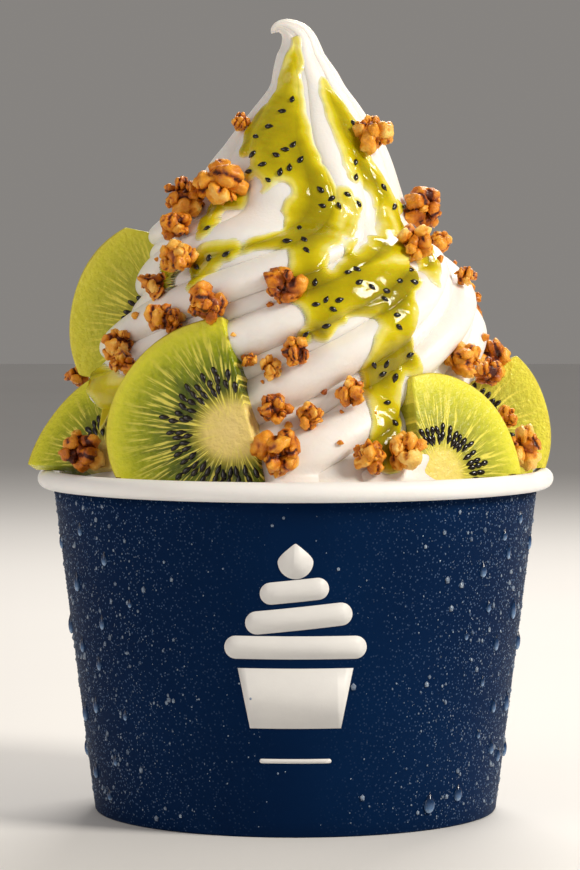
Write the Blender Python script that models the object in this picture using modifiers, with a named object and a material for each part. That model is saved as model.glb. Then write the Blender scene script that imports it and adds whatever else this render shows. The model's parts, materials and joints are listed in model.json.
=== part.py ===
"""Frozen yogurt cup: a paper cup filled with a piped swirl, kiwi slices and granola clusters.

Metres, +Z up. The origin is at the middle of the foot, on the surface that the cup stands on.
A turn is an angle about +Z in degrees: 0 faces -Y, the front, and 90 faces +X.
"""

import math
import random

import bmesh
import bpy
from mathutils import Matrix, Vector

MM = 0.001
GAP = 0.3 * MM                      # clear space between two pieces that touch
MERGE_DISTANCE = 0.01 * MM

# Paper cup
CUP_HEIGHT = 65.0 * MM
RIM_RADIUS = 49.0 * MM              # outside of the rolled rim
ROLL_RADIUS = 1.8 * MM              # section of the roll
ROLL_SECTION = (180, 135, 90, 45, 0, -45, -90, -125)    # directions of its corners, in degrees
ROLL_NECK = 0.8 * MM                # height below the roll over which it joins the wall
WALL_FOOT_RADIUS = 38.2 * MM        # outside of the wall at the foot
WALL_TOP_RADIUS = 45.9 * MM         # outside of the wall under the roll
PAPER = 0.6 * MM
FOOT_WIDTH = 1.6 * MM               # folded paper that the cup stands on
FOOT_HEIGHT = 5.0 * MM
FOOT_ROUNDING = 0.4 * MM
BASE_THICKNESS = 0.8 * MM
CUP_SIDES = 48

# Swirl: seven broad ridges with a thin one between each pair
RIDGES = 7
RIDGE_PITCH = 360.0 / RIDGES
BROAD_HALF = 0.35                   # half of a broad ridge, as a share of the pitch
THIN_HALF = 0.5 - BROAD_HALF
# Height on the swirl and height of the thin ridges, as a share of a broad one's
THIN_HEIGHT = ((110.0 * MM, 0.4), (122.0 * MM, 0.12))
RIDGE_DEPTH = 0.10                  # depth of the grooves, as a share of the swirl's radius
CROWDING = 0.45                     # how far the ridges bunch up on one side
CROWDED_TURN = 50.0
SPREAD_PASSES = 30                  # enough to undo the bunching to rounding
RIDGE_STEPS = (-BROAD_HALF, -0.2, 0.0, 0.2, BROAD_HALF, 0.45, 0.55)
RING_SPACING = 3.2 * MM
SHOULDER_HEIGHT = 62.0 * MM         # where the swirl leaves the wall, just inside the rim
SHOULDER_FADE = 3.0 * MM            # height over which the ridges start above the shoulder

# Height and radius of the swirl, over the ridges
OUTLINE = (
    (62.0 * MM, 44.6 * MM), (63.4 * MM, 42.6 * MM), (65.0 * MM, 40.8 * MM),
    (69.0 * MM, 39.4 * MM), (73.0 * MM, 37.6 * MM), (78.0 * MM, 35.2 * MM),
    (84.0 * MM, 35.4 * MM), (90.0 * MM, 36.4 * MM), (97.0 * MM, 35.4 * MM),
    (104.0 * MM, 32.0 * MM), (109.0 * MM, 27.6 * MM), (112.5 * MM, 22.0 * MM),
    (118.0 * MM, 19.8 * MM), (123.5 * MM, 17.0 * MM), (129.0 * MM, 13.4 * MM),
    (134.2 * MM, 9.6 * MM), (137.3 * MM, 7.3 * MM), (140.3 * MM, 6.1 * MM),
    (143.4 * MM, 4.6 * MM),
)
# Height and turn of the first ridge: it drops from the peak and then winds round the swirl
WINDING = (
    (66.0 * MM, -190.0), (82.0 * MM, -129.0), (97.0 * MM, -64.0), (105.0 * MM, -22.0),
    (112.0 * MM, 10.0), (118.0 * MM, 13.0), (128.0 * MM, 0.0), (140.0 * MM, -9.0),
    (143.4 * MM, -9.0),
)
# Height and sideways lean of the swirl's middle
LEAN = (
    (100.0 * MM, 0.0), (118.0 * MM, 1.2 * MM), (127.0 * MM, 1.8 * MM),
    (137.0 * MM, 2.3 * MM), (143.4 * MM, 1.0 * MM),
)
# Height and how much higher the step between the tiers stands on the left
SLANT = (
    (92.0 * MM, 0.0), (104.0 * MM, 2.4 * MM), (116.0 * MM, 2.4 * MM), (126.0 * MM, 0.0),
)
# On the left the lowest coil swells out, and the coil above it is drawn in
LEFT_TURN = -95.0
LEFT_BULGE = 6.0 * MM
LEFT_BULGE_HEIGHT = 80.0 * MM
LEFT_BULGE_REACH = 8.0 * MM
LEFT_HOLLOW = 4.5 * MM
LEFT_HOLLOW_HEIGHT = 100.0 * MM
LEFT_HOLLOW_REACH = 8.0 * MM

# Peak: a drawn-out tail that curls over to the left, above the level rings of the swirl. Each
# ring has its place in X and Z, its radius and how far it has turned over.
PEAK_HEIGHT = 143.4 * MM
PEAK = (
    (0.9 * MM, 144.9 * MM, 3.9 * MM, 5.0), (0.6 * MM, 146.2 * MM, 3.4 * MM, 14.0),
    (-0.1 * MM, 147.3 * MM, 2.9 * MM, 30.0), (-1.2 * MM, 148.1 * MM, 2.2 * MM, 52.0),
    (-2.4 * MM, 148.6 * MM, 1.5 * MM, 78.0), (-3.5 * MM, 148.5 * MM, 1.0 * MM, 108.0),
    (-4.2 * MM, 147.9 * MM, 0.6 * MM, 140.0),
)
PEAK_TIP = (-4.6 * MM, 147.3 * MM)

# Kiwi slices. Each has the height, turn and distance from the axis of its core, the turn and
# upward tilt of its cut face, its half width and half height, and its straight cuts. A cut is
# the direction in the face that it takes away, from 0 at the right round to 90 at the top, and
# its distance from the core.
SLICE_THICKNESS = 6.0 * MM
SLICE_SIDES = 30
SLICES = {
    "kiwi_front_left": (73.8, -16.4, 39.7, -20.0, 9.0, 25.0, 21.0, ((18.0, 3.2),)),
    "kiwi_left_back": (
        91.6, -75.0, 22.8, -3.0, 4.0, 20.8, 22.0, ((78.0, 16.6), (0.0, 4.0), (-100.0, 12.0)),
    ),
    "kiwi_left_low": (67.4, -57.0, 40.9, -40.0, 27.0, 20.5, 20.5, ((-90.0, 1.4), (0.0, 1.5))),
    "kiwi_front_right": (65.4, 41.6, 40.4, 33.0, 11.0, 18.0, 18.8, ((180.0, 4.5),)),
    "kiwi_right_back": (71.6, 84.0, 31.8, 4.0, 3.0, 16.8, 19.0, ((120.0, 7.6), (180.0, 5.0))),
    "kiwi_back_right": (73.0, 148.0, 39.0, 156.0, 10.0, 21.5, 20.5, ((196.0, 3.5),)),
    "kiwi_back_left": (71.0, -150.0, 38.4, -140.0, 12.0, 20.5, 20.5, ((-20.0, 3.0),)),
}

# Granola clusters on the swirl: turn, height and width
CLUSTERS = (
    (-68, 129.5, 4.8), (49, 128.4, 7.6), (-42, 118.6, 9.6), (-61, 114.6, 10.4),
    (-52, 110.0, 6.4), (-40, 104.6, 7.6), (-51, 99.6, 6.4), (-40, 93.0, 9.6),
    (-25, 96.6, 8.6), (-4, 100.0, 7.4), (-62, 89.0, 8.4), (-54, 84.8, 6.0),
    (-14, 86.6, 4.6), (-7, 84.6, 5.4), (0, 88.0, 6.2), (-6, 77.6, 6.6),
    (5, 75.2, 6.6), (17, 79.4, 8.0), (-4, 70.0, 9.8), (19.4, 69.2, 7.6),
    (29.4, 69.2, 7.6), (88, 113.8, 8.2), (46, 107.4, 7.4), (88, 107.4, 6.4),
    (74, 100.6, 6.2), (58, 86.4, 8.2), (72, 83.6, 6.6), (84, 85.6, 8.0),
    (132, 121.0, 7.6), (165, 110.0, 8.4), (-158, 117.0, 7.0), (-128, 105.0, 8.6),
    (118, 96.0, 8.0), (178, 93.0, 9.0), (-156, 98.0, 7.2), (-112, 93.0, 6.6),
    (120, 76.0, 8.2), (-118, 78.0, 7.4),
)
# Granola clusters on the slices and the rim: turn, height, width and distance from the axis
RESTING_CLUSTERS = (
    (-60, 69.6, 7.6, 45.6), (-86, 82.0, 4.4, 41.6), (66, 75.4, 4.6, 43.0), (70, 69.4, 6.6, 45.6),
)
CLUSTER_SINK = 0.22                 # share of its width by which a cluster is flattened below
CLUSTER_SEAT = 0.6 * MM             # clear space between a cluster and the swirl
SEAT_PASSES = 40
SEAT_STEP = 0.95                    # how much a point that is too near draws back in each pass
CLUSTER_LOBES = 8
LOBE_SPACING = 0.72                 # largest cosine between two lobes
LOBE_REACH = (0.85, 1.1)            # smallest and largest, as a share of LOBE_LENGTH
LOBE_LENGTH = 0.42                  # how far a lobe stands out of the core, in half widths
CORE_RADIUS = 0.68                  # in half widths
LOBE_SHARPNESS = 5
CUP_CLEARANCE_HEIGHT = 74.0 * MM    # clusters lower than this can reach the rim
CUP_CLEARANCE_RADIUS = 60.0 * MM


def start_clean():
    """Empty the file and return the collections for the pieces and for the cutters."""
    for item in list(bpy.data.objects):
        bpy.data.objects.remove(item, do_unlink=True)
    pieces = bpy.data.collections.new("frozen_yogurt_cup")
    cutters = bpy.data.collections.new("cutters")
    for collection in (pieces, cutters):
        bpy.context.scene.collection.children.link(collection)
    return pieces, cutters


def finish_material(name, colour, roughness, coat=0.0, subsurface=0.0):
    """A Principled material with a plain colour and finish."""
    material = bpy.data.materials.new(name)
    material.use_nodes = True
    shader = material.node_tree.nodes["Principled BSDF"]
    shader.inputs["Base Color"].default_value = (*colour, 1.0)
    shader.inputs["Roughness"].default_value = roughness
    shader.inputs["Metallic"].default_value = 0.0
    shader.inputs["Coat Weight"].default_value = coat
    shader.inputs["Subsurface Weight"].default_value = subsurface
    return material


def add_object(name, mesh, collection, material=None):
    """Link a mesh as a new object in a collection."""
    item = bpy.data.objects.new(name, mesh)
    collection.objects.link(item)
    if material is not None:
        mesh.materials.append(material)
    return item


def make_cutter(item):
    """Mark an object as a tool that isn't part of the cup."""
    item.hide_render = True
    item.display_type = "WIRE"
    return item


def cut(item, cutter):
    """Take the cutter's volume out of an object. Both are closed, as this solver needs."""
    boolean = item.modifiers.new("cut_" + cutter.name, "BOOLEAN")
    boolean.operation = "DIFFERENCE"
    boolean.solver = "MANIFOLD"
    boolean.object = cutter


def along(stations, position):
    """Smooth value at a position, between stations listed as (position, value)."""
    if position <= stations[0][0]:
        return stations[0][1]
    if position >= stations[-1][0]:
        return stations[-1][1]
    last = len(stations) - 1
    index = max(i for i in range(last) if stations[i][0] <= position)

    def slope(i):
        low, high = max(i - 1, 0), min(i + 1, last)
        return (stations[high][1] - stations[low][1]) / (stations[high][0] - stations[low][0])

    (start, first), (end, second) = stations[index], stations[index + 1]
    width = end - start
    t = (position - start) / width
    return (
        first * (1 + 2 * t) * (1 - t) ** 2 + second * t * t * (3 - 2 * t)
        + width * (slope(index) * t * (1 - t) ** 2 - slope(index + 1) * t * t * (1 - t))
    )


def at_turn(turn, radius, height):
    """The point at a turn, a distance from the axis and a height."""
    angle = math.radians(turn)
    return Vector((radius * math.sin(angle), -radius * math.cos(angle), height))


# Paper cup

def wall_radius(height):
    """Outside radius of the paper wall at a height."""
    under_roll = CUP_HEIGHT - 2 * ROLL_RADIUS
    share = height / under_roll
    return WALL_FOOT_RADIUS + (WALL_TOP_RADIUS - WALL_FOOT_RADIUS) * share


def cup_profile():
    """Section of the wall, down the outside from the rolled rim and up the inside."""
    roll_middle = RIM_RADIUS - ROLL_RADIUS
    roll_height = CUP_HEIGHT - ROLL_RADIUS
    points = []
    for degrees in ROLL_SECTION:
        angle = math.radians(degrees)
        radius = roll_middle + ROLL_RADIUS * math.cos(angle)
        points.append((radius, roll_height + ROLL_RADIUS * math.sin(angle)))
    under_roll = CUP_HEIGHT - 2 * ROLL_RADIUS - ROLL_NECK
    points.append((wall_radius(under_roll), under_roll))
    points.append((wall_radius(FOOT_ROUNDING), FOOT_ROUNDING))
    points.append((WALL_FOOT_RADIUS - FOOT_ROUNDING, 0.0))
    points.append((WALL_FOOT_RADIUS - FOOT_WIDTH, 0.0))
    points.append((wall_radius(FOOT_HEIGHT) - FOOT_WIDTH, FOOT_HEIGHT))
    points.append((wall_radius(FOOT_HEIGHT) - PAPER, FOOT_HEIGHT))
    points.append((wall_radius(under_roll) - PAPER, under_roll))
    return points


def clearance_profile():
    """Section of all that lies below the rim's top and outside the space in the cup."""
    top = CUP_HEIGHT + GAP
    inside = PAPER + GAP
    return [
        (CUP_CLEARANCE_RADIUS, top), (CUP_CLEARANCE_RADIUS, 0.0),
        (wall_radius(0.0) - inside, 0.0), (wall_radius(CUP_HEIGHT - 2 * ROLL_RADIUS) - inside, top),
    ]


def turned(name, profile, sides, collection, material=None):
    """A closed section turned about the axis with a Screw modifier."""
    mesh = bpy.data.meshes.new(name)
    count = len(profile)
    edges = [(i, (i + 1) % count) for i in range(count)]
    mesh.from_pydata([(radius, 0.0, height) for radius, height in profile], edges, [])
    item = add_object(name, mesh, collection, material)
    screw = item.modifiers.new("turn", "SCREW")
    screw.axis = "Z"
    screw.angle = math.tau
    screw.steps = sides
    screw.render_steps = sides
    screw.use_merge_vertices = True
    screw.merge_threshold = MERGE_DISTANCE
    return item


def cup_wall(collection, material):
    """The tapered wall with its rolled rim and folded foot."""
    return turned("cup_wall", cup_profile(), CUP_SIDES, collection, material)


def cup_base(collection, material):
    """The disc that rests on the fold of the foot."""
    underside = FOOT_HEIGHT + GAP
    radius = wall_radius(underside) - PAPER - GAP
    bpy.ops.mesh.primitive_cylinder_add(
        vertices=CUP_SIDES, radius=radius, depth=BASE_THICKNESS,
        location=(0.0, 0.0, underside + BASE_THICKNESS / 2),
    )
    disc = bpy.context.object
    disc.name = "cup_base"
    disc.data.name = "cup_base"
    disc.data.materials.append(material)
    for owner in list(disc.users_collection):
        owner.objects.unlink(disc)
    collection.objects.link(disc)
    return disc


# Swirl

def crowd(turn):
    """Where an evenly spread turn goes once the ridges are bunched up on one side."""
    return turn - math.degrees(CROWDING * math.sin(math.radians(turn - CROWDED_TURN)))


def spread(turn):
    """The evenly spread turn that crowd() moves to the given turn."""
    even = turn
    for _ in range(SPREAD_PASSES):
        even = turn + math.degrees(CROWDING * math.sin(math.radians(even - CROWDED_TURN)))
    return even


def ridge_height(share, height):
    """How high the ridges stand, 0 in a groove and 1 on a broad ridge, at a share of the pitch."""
    share = (share + 0.5) % 1.0 - 0.5
    if abs(share) < BROAD_HALF:
        return math.sqrt(1.0 - (share / BROAD_HALF) ** 2)
    across = (0.5 - abs(share)) / THIN_HALF
    return along(THIN_HEIGHT, height) * math.sqrt(max(0.0, 1.0 - across ** 2))


def outline_radius(turn, height):
    """Radius over the ridges, with the slanting tiers and the bulge on the left."""
    slanted = height + along(SLANT, height) * math.sin(math.radians(turn))
    towards = max(0.0, math.cos(math.radians(turn - LEFT_TURN))) ** 2
    bulge = LEFT_BULGE * math.exp(-((height - LEFT_BULGE_HEIGHT) / LEFT_BULGE_REACH) ** 2)
    hollow = LEFT_HOLLOW * math.exp(-((height - LEFT_HOLLOW_HEIGHT) / LEFT_HOLLOW_REACH) ** 2)
    return along(OUTLINE, slanted) + towards * (bulge - hollow)


def swirl_radius(turn, height, share):
    """Distance from the swirl's middle to its surface, at a share of the ridge pitch."""
    outside = outline_radius(turn, height)
    rise = min(1.0, (height - SHOULDER_HEIGHT) / SHOULDER_FADE)
    return outside * (1.0 - RIDGE_DEPTH * rise * (1.0 - ridge_height(share, height)))


def swirl_point(turn, height):
    """A point on the swirl's surface below the peak."""
    share = (spread(turn) - along(WINDING, height)) / RIDGE_PITCH
    lean = Vector((along(LEAN, height), 0.0, 0.0))
    return at_turn(turn, swirl_radius(turn, height, share), height) + lean


def clears_swirl(point):
    """Whether a point stands far enough off the swirl for a cluster to reach it."""
    lean = along(LEAN, point.z)
    turn = math.degrees(math.atan2(point.x - lean, -point.y))
    surface = (swirl_point(turn, point.z) - Vector((lean, 0.0, point.z))).length
    return math.hypot(point.x - lean, point.y) >= surface + CLUSTER_SEAT


def ridge_columns():
    """Every column of the swirl's mesh, counted in ridge pitches."""
    return [ridge + step for ridge in range(RIDGES) for step in RIDGE_STEPS]


def swirl_rings():
    """Rings of points from the shoulder to the tip of the peak."""
    count = round((PEAK_HEIGHT - SHOULDER_HEIGHT) / RING_SPACING)
    rings = []
    for level in range(count + 1):
        height = SHOULDER_HEIGHT + (PEAK_HEIGHT - SHOULDER_HEIGHT) * level / count
        lean = Vector((along(LEAN, height), 0.0, 0.0))
        ring = []
        for column in ridge_columns():
            turn = crowd(along(WINDING, height) + column * RIDGE_PITCH)
            ring.append(at_turn(turn, swirl_radius(turn, height, column), height) + lean)
        rings.append(ring)

    for across, height, radius, curl in PEAK:
        middle = Vector((across, 0.0, height))
        tilt = Matrix.Rotation(math.radians(-curl), 3, "Y")
        ring = []
        for column in ridge_columns():
            turn = crowd(along(WINDING, PEAK_HEIGHT) + column * RIDGE_PITCH)
            reach = radius * (1.0 - RIDGE_DEPTH * (1.0 - ridge_height(column, height)))
            ring.append(middle + tilt @ at_turn(turn, reach, 0.0))
        rings.append(ring)
    return rings


def yogurt_body(collection, material):
    """The yogurt: what fills the cup, and the swirl above it, lofted ring by ring."""
    swirl = swirl_rings()
    columns = len(swirl[0])
    turns = [math.degrees(math.atan2(point.x, -point.y)) for point in swirl[0]]
    underside = FOOT_HEIGHT + GAP + BASE_THICKNESS + GAP
    rings = []
    for height, inset in ((underside, GAP), (CUP_HEIGHT - 2 * ROLL_RADIUS, 2 * GAP)):
        radius = wall_radius(height) - PAPER - inset
        rings.append([at_turn(turn, radius, height) for turn in turns])
    rings += swirl
    points = [point for ring in rings for point in ring]
    faces = [tuple(reversed(range(columns)))]
    for level in range(len(rings) - 1):
        below, above = level * columns, (level + 1) * columns
        for column in range(columns):
            after = (column + 1) % columns
            faces.append((below + column, below + after, above + column))
            faces.append((below + after, above + after, above + column))
    tip = len(points)
    points.append(Vector((PEAK_TIP[0], 0.0, PEAK_TIP[1])))
    last = (len(rings) - 1) * columns
    faces += [(last + column, last + (column + 1) % columns, tip) for column in range(columns)]
    mesh = bpy.data.meshes.new("yogurt")
    mesh.from_pydata(points, [], faces)
    return add_object("yogurt", mesh, collection, material)


# Toppings

def slice_frame(height, turn, distance, face_turn, face_tilt):
    """Matrix that puts a slice, modelled in X and Z with its face at -Y, in its place."""
    place = Matrix.Translation(at_turn(turn, distance * MM, height * MM))
    swing = Matrix.Rotation(math.radians(face_turn), 4, "Z")
    lean = Matrix.Rotation(math.radians(-face_tilt), 4, "X")
    return place @ swing @ lean


def kiwi_slice(name, details, grow, collection, material=None):
    """A slice of kiwi with an oval outline and its straight cuts."""
    height, turn, distance, face_turn, face_tilt, half_width, half_height, cuts = details
    shape = bmesh.new()
    bmesh.ops.create_cone(
        shape, cap_ends=True, segments=SLICE_SIDES, radius1=1.0, radius2=1.0,
        depth=SLICE_THICKNESS + 2 * grow,
    )
    bmesh.ops.rotate(shape, verts=shape.verts, matrix=Matrix.Rotation(math.radians(90), 3, "X"))
    bmesh.ops.scale(
        shape, verts=shape.verts, vec=(half_width * MM + grow, 1.0, half_height * MM + grow),
    )
    bmesh.ops.translate(shape, verts=shape.verts, vec=(0.0, SLICE_THICKNESS / 2, 0.0))
    for direction, offset in cuts:
        angle = math.radians(direction)
        outward = Vector((math.cos(angle), 0.0, math.sin(angle)))
        cut_edges = bmesh.ops.bisect_plane(
            shape, geom=shape.verts[:] + shape.edges[:] + shape.faces[:],
            plane_co=outward * (offset * MM + grow), plane_no=outward, clear_outer=True,
        )["geom_cut"]
        rim = [edge for edge in cut_edges if isinstance(edge, bmesh.types.BMEdge)]
        bmesh.ops.contextual_create(shape, geom=rim)
    bmesh.ops.triangulate(shape, faces=shape.faces)
    bmesh.ops.recalc_face_normals(shape, faces=shape.faces)
    mesh = bpy.data.meshes.new(name)
    shape.to_mesh(mesh)
    shape.free()
    item = add_object(name, mesh, collection, material)
    item.matrix_world = slice_frame(height, turn, distance, face_turn, face_tilt)
    return item


def cluster_mesh(name, place, width, seed):
    """A knobbly lump: a ball pushed out towards a few lobes, and flattened where it is seated."""
    draw = random.Random(seed)
    lobes = []
    while len(lobes) < CLUSTER_LOBES:
        direction = Vector([draw.gauss(0.0, 1.0) for _ in range(3)]).normalized()
        if all(direction.dot(other) < LOBE_SPACING for other in lobes):
            lobes.append(direction)
    reach = [draw.uniform(*LOBE_REACH) * LOBE_LENGTH for _ in lobes]
    shape = bmesh.new()
    bmesh.ops.create_icosphere(shape, subdivisions=2, radius=1.0)
    for vertex in shape.verts:
        direction = vertex.co.normalized()
        pull = max(
            size * max(0.0, direction.dot(lobe)) ** LOBE_SHARPNESS
            for lobe, size in zip(lobes, reach)
        )
        vertex.co = direction * width / 2 * (CORE_RADIUS + pull)
    for _ in range(SEAT_PASSES):
        for vertex in shape.verts:
            tests = [vertex.co] + [face.calc_center_median() for face in vertex.link_faces]
            tests += [(edge.verts[0].co + edge.verts[1].co) / 2 for edge in vertex.link_edges]
            if not all(clears_swirl(place + test) for test in tests):
                vertex.co *= SEAT_STEP
    mesh = bpy.data.meshes.new(name)
    shape.to_mesh(mesh)
    shape.free()
    return mesh


def granola_cluster(number, place, width, collection, material):
    """One cluster of granola, in its place."""
    name = f"granola_{number:02d}"
    item = add_object(name, cluster_mesh(name, place, width, number), collection, material)
    item.location = place
    return item


def clear_neighbours(item, width, tools):
    """Cut a cluster back from the rim and from the slices that it can touch."""
    if item.location.z < CUP_CLEARANCE_HEIGHT:
        cut(item, tools["cup"])
    for name, details in SLICES.items():
        height, turn, distance, _, _, half_width, half_height, _ = details
        middle = at_turn(turn, distance * MM, height * MM)
        reach = max(half_width, half_height) * MM + SLICE_THICKNESS + width / 2
        if (middle - item.location).length < reach:
            cut(item, tools[name])


def main():
    pieces, cutters = start_clean()
    paper = finish_material("printed_paper", (0.004, 0.018, 0.075), 0.42, coat=0.2)
    board = finish_material("white_board", (0.80, 0.79, 0.77), 0.55)
    cream = finish_material("frozen_yogurt", (0.86, 0.81, 0.76), 0.38, subsurface=0.3)
    flesh = finish_material("kiwi_flesh", (0.35, 0.48, 0.06), 0.30, coat=0.3)
    baked = finish_material("baked_granola", (0.42, 0.17, 0.04), 0.40, coat=0.3)

    cup_wall(pieces, paper)
    cup_base(pieces, board)
    yogurt = yogurt_body(pieces, cream)

    tools = {"cup": make_cutter(turned("cup_clearance", clearance_profile(), CUP_SIDES, cutters))}
    for name, details in SLICES.items():
        kiwi = kiwi_slice(name, details, 0.0, pieces, flesh)
        cut(kiwi, tools["cup"])
        tools[name] = make_cutter(kiwi_slice(name + "_clearance", details, GAP, cutters))
        cut(yogurt, tools[name])

    number = 0
    for turn, height, width in CLUSTERS:
        number += 1
        surface = swirl_point(turn, height * MM)
        outward = at_turn(turn, 1.0, 0.0)
        place = surface + outward * width * MM * (0.5 - CLUSTER_SINK)
        item = granola_cluster(number, place, width * MM, pieces, baked)
        clear_neighbours(item, width * MM, tools)
    for turn, height, width, distance in RESTING_CLUSTERS:
        number += 1
        place = at_turn(turn, distance * MM, height * MM)
        item = granola_cluster(number, place, width * MM, pieces, baked)
        clear_neighbours(item, width * MM, tools)


main()
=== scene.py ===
"""Looks of the frozen yogurt cup, on the frame of its solids.

Metres, +Z up. A turn is an angle about +Z in degrees: 0 faces -Y, the front, and 90 faces +X.
"""

import json
import math
import random

import bpy
import numpy as np
from mathutils import Matrix, Vector, noise

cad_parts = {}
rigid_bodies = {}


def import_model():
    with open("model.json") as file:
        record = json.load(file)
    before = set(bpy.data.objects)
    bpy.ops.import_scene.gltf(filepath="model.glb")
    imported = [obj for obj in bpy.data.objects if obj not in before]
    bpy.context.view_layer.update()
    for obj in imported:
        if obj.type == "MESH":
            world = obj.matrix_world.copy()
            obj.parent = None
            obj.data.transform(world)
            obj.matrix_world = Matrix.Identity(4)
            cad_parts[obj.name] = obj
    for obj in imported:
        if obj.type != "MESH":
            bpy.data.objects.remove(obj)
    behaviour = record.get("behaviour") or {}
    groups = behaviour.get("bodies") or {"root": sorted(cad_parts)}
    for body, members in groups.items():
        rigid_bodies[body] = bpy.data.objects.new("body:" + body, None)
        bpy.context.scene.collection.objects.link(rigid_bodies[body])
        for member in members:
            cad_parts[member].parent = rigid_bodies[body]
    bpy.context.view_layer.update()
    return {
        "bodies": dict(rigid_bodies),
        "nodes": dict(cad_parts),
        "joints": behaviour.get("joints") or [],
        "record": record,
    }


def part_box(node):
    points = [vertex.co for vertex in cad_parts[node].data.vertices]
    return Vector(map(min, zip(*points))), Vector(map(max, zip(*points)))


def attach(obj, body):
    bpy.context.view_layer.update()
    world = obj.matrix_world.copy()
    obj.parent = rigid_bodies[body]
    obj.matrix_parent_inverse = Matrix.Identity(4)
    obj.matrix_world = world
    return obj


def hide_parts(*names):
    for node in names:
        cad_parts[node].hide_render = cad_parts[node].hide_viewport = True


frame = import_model()
bpy.ops.object.select_all(action="DESELECT")

MM = 0.001

# Paper cup, as its solids have it
CUP_HEIGHT = 65.0 * MM
RIM_RADIUS = 49.0 * MM
ROLL_RADIUS = 1.8 * MM
WALL_FOOT_RADIUS = 38.2 * MM
WALL_TOP_RADIUS = 45.9 * MM
PAPER = 0.6 * MM
FOOT_WIDTH = 1.6 * MM
FOOT_HEIGHT = 5.0 * MM
UNDER_ROLL = CUP_HEIGHT - 2 * ROLL_RADIUS

# Swirl: seven broad ridges with a thin one between each pair, as its solid has them
RIDGES = 7
RIDGE_PITCH = 360.0 / RIDGES
BROAD_HALF = 0.35
THIN_HALF = 0.5 - BROAD_HALF
THIN_HEIGHT = ((110.0 * MM, 0.4), (122.0 * MM, 0.12))
RIDGE_DEPTH = 0.10
GROOVE_ROUNDING = 0.2               # share of their depth by which the grooves are rounded
CROWDING = 0.45
CROWDED_TURN = 50.0
SPREAD_PASSES = 30
SHOULDER_HEIGHT = 62.0 * MM
SHOULDER_FADE = 5.5 * MM            # softer than on the solid
OUTLINE = (
    (62.0 * MM, 44.6 * MM), (63.4 * MM, 42.6 * MM), (65.0 * MM, 40.8 * MM),
    (69.0 * MM, 39.4 * MM), (73.0 * MM, 37.6 * MM), (78.0 * MM, 35.2 * MM),
    (84.0 * MM, 35.4 * MM), (90.0 * MM, 36.4 * MM), (97.0 * MM, 35.4 * MM),
    (104.0 * MM, 32.0 * MM), (109.0 * MM, 27.6 * MM), (112.5 * MM, 22.0 * MM),
    (118.0 * MM, 19.8 * MM), (123.5 * MM, 17.0 * MM), (129.0 * MM, 13.4 * MM),
    (134.2 * MM, 9.6 * MM), (137.3 * MM, 7.3 * MM), (140.3 * MM, 6.1 * MM),
    (143.4 * MM, 4.6 * MM),
)
WINDING = (
    (66.0 * MM, -190.0), (82.0 * MM, -129.0), (97.0 * MM, -64.0), (105.0 * MM, -22.0),
    (112.0 * MM, 10.0), (118.0 * MM, 13.0), (128.0 * MM, 0.0), (140.0 * MM, -9.0),
    (143.4 * MM, -9.0),
)
LEAN = (
    (100.0 * MM, 0.0), (118.0 * MM, 1.2 * MM), (127.0 * MM, 1.8 * MM),
    (137.0 * MM, 2.3 * MM), (143.4 * MM, 1.0 * MM),
)
SLANT = (
    (92.0 * MM, 0.0), (104.0 * MM, 2.4 * MM), (116.0 * MM, 2.4 * MM), (126.0 * MM, 0.0),
)
LEFT_TURN = -95.0
LEFT_BULGE = 6.0 * MM
LEFT_BULGE_HEIGHT = 80.0 * MM
LEFT_BULGE_REACH = 8.0 * MM
LEFT_HOLLOW = 4.5 * MM
LEFT_HOLLOW_HEIGHT = 100.0 * MM
LEFT_HOLLOW_REACH = 8.0 * MM
PEAK_HEIGHT = 143.4 * MM
PEAK_STEP = 1.1 * MM                # run of the peak from one of its rings to the next
PEAK = (                            # X, Z, radius and turn-over of each ring
    (1.0 * MM, 143.4 * MM, 4.6 * MM, 0.0),
    (0.9 * MM, 144.9 * MM, 3.9 * MM, 5.0), (0.6 * MM, 146.2 * MM, 3.4 * MM, 14.0),
    (-0.1 * MM, 147.3 * MM, 2.9 * MM, 30.0), (-1.2 * MM, 148.1 * MM, 2.2 * MM, 52.0),
    (-2.4 * MM, 148.6 * MM, 1.5 * MM, 78.0), (-3.5 * MM, 148.5 * MM, 1.0 * MM, 108.0),
    (-4.2 * MM, 147.9 * MM, 0.6 * MM, 140.0), (-4.6 * MM, 147.3 * MM, 0.02 * MM, 150.0),
)

# Kiwi slices: height, turn and distance of the core, turn and upward tilt of the face, half
# width, half height and straight cuts, as their solids have them
SLICE_THICKNESS = 6.0 * MM
SLICES = {
    "kiwi_front_left": (73.8, -16.4, 39.7, -20.0, 9.0, 25.0, 21.0, ((18.0, 3.2),)),
    "kiwi_left_back": (
        91.6, -75.0, 22.8, -3.0, 4.0, 20.8, 22.0, ((78.0, 16.6), (0.0, 4.0), (-100.0, 12.0)),
    ),
    "kiwi_left_low": (67.4, -57.0, 40.9, -40.0, 27.0, 20.5, 20.5, ((-90.0, 1.4), (0.0, 1.5))),
    "kiwi_front_right": (65.4, 41.6, 40.4, 33.0, 11.0, 18.0, 18.8, ((180.0, 4.5),)),
    "kiwi_right_back": (71.6, 84.0, 31.8, 4.0, 3.0, 16.8, 19.0, ((120.0, 7.6), (180.0, 5.0))),
    "kiwi_back_right": (73.0, 148.0, 39.0, 156.0, 10.0, 21.5, 20.5, ((196.0, 3.5),)),
    "kiwi_back_left": (71.0, -150.0, 38.4, -140.0, 12.0, 20.5, 20.5, ((-20.0, 3.0),)),
}

GRANOLA_COUNT = 42


# Small helpers

def at_turn(turn, radius, height):
    """The point at a turn, a distance from the axis and a height."""
    angle = math.radians(turn)
    return Vector((radius * math.sin(angle), -radius * math.cos(angle), height))


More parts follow.
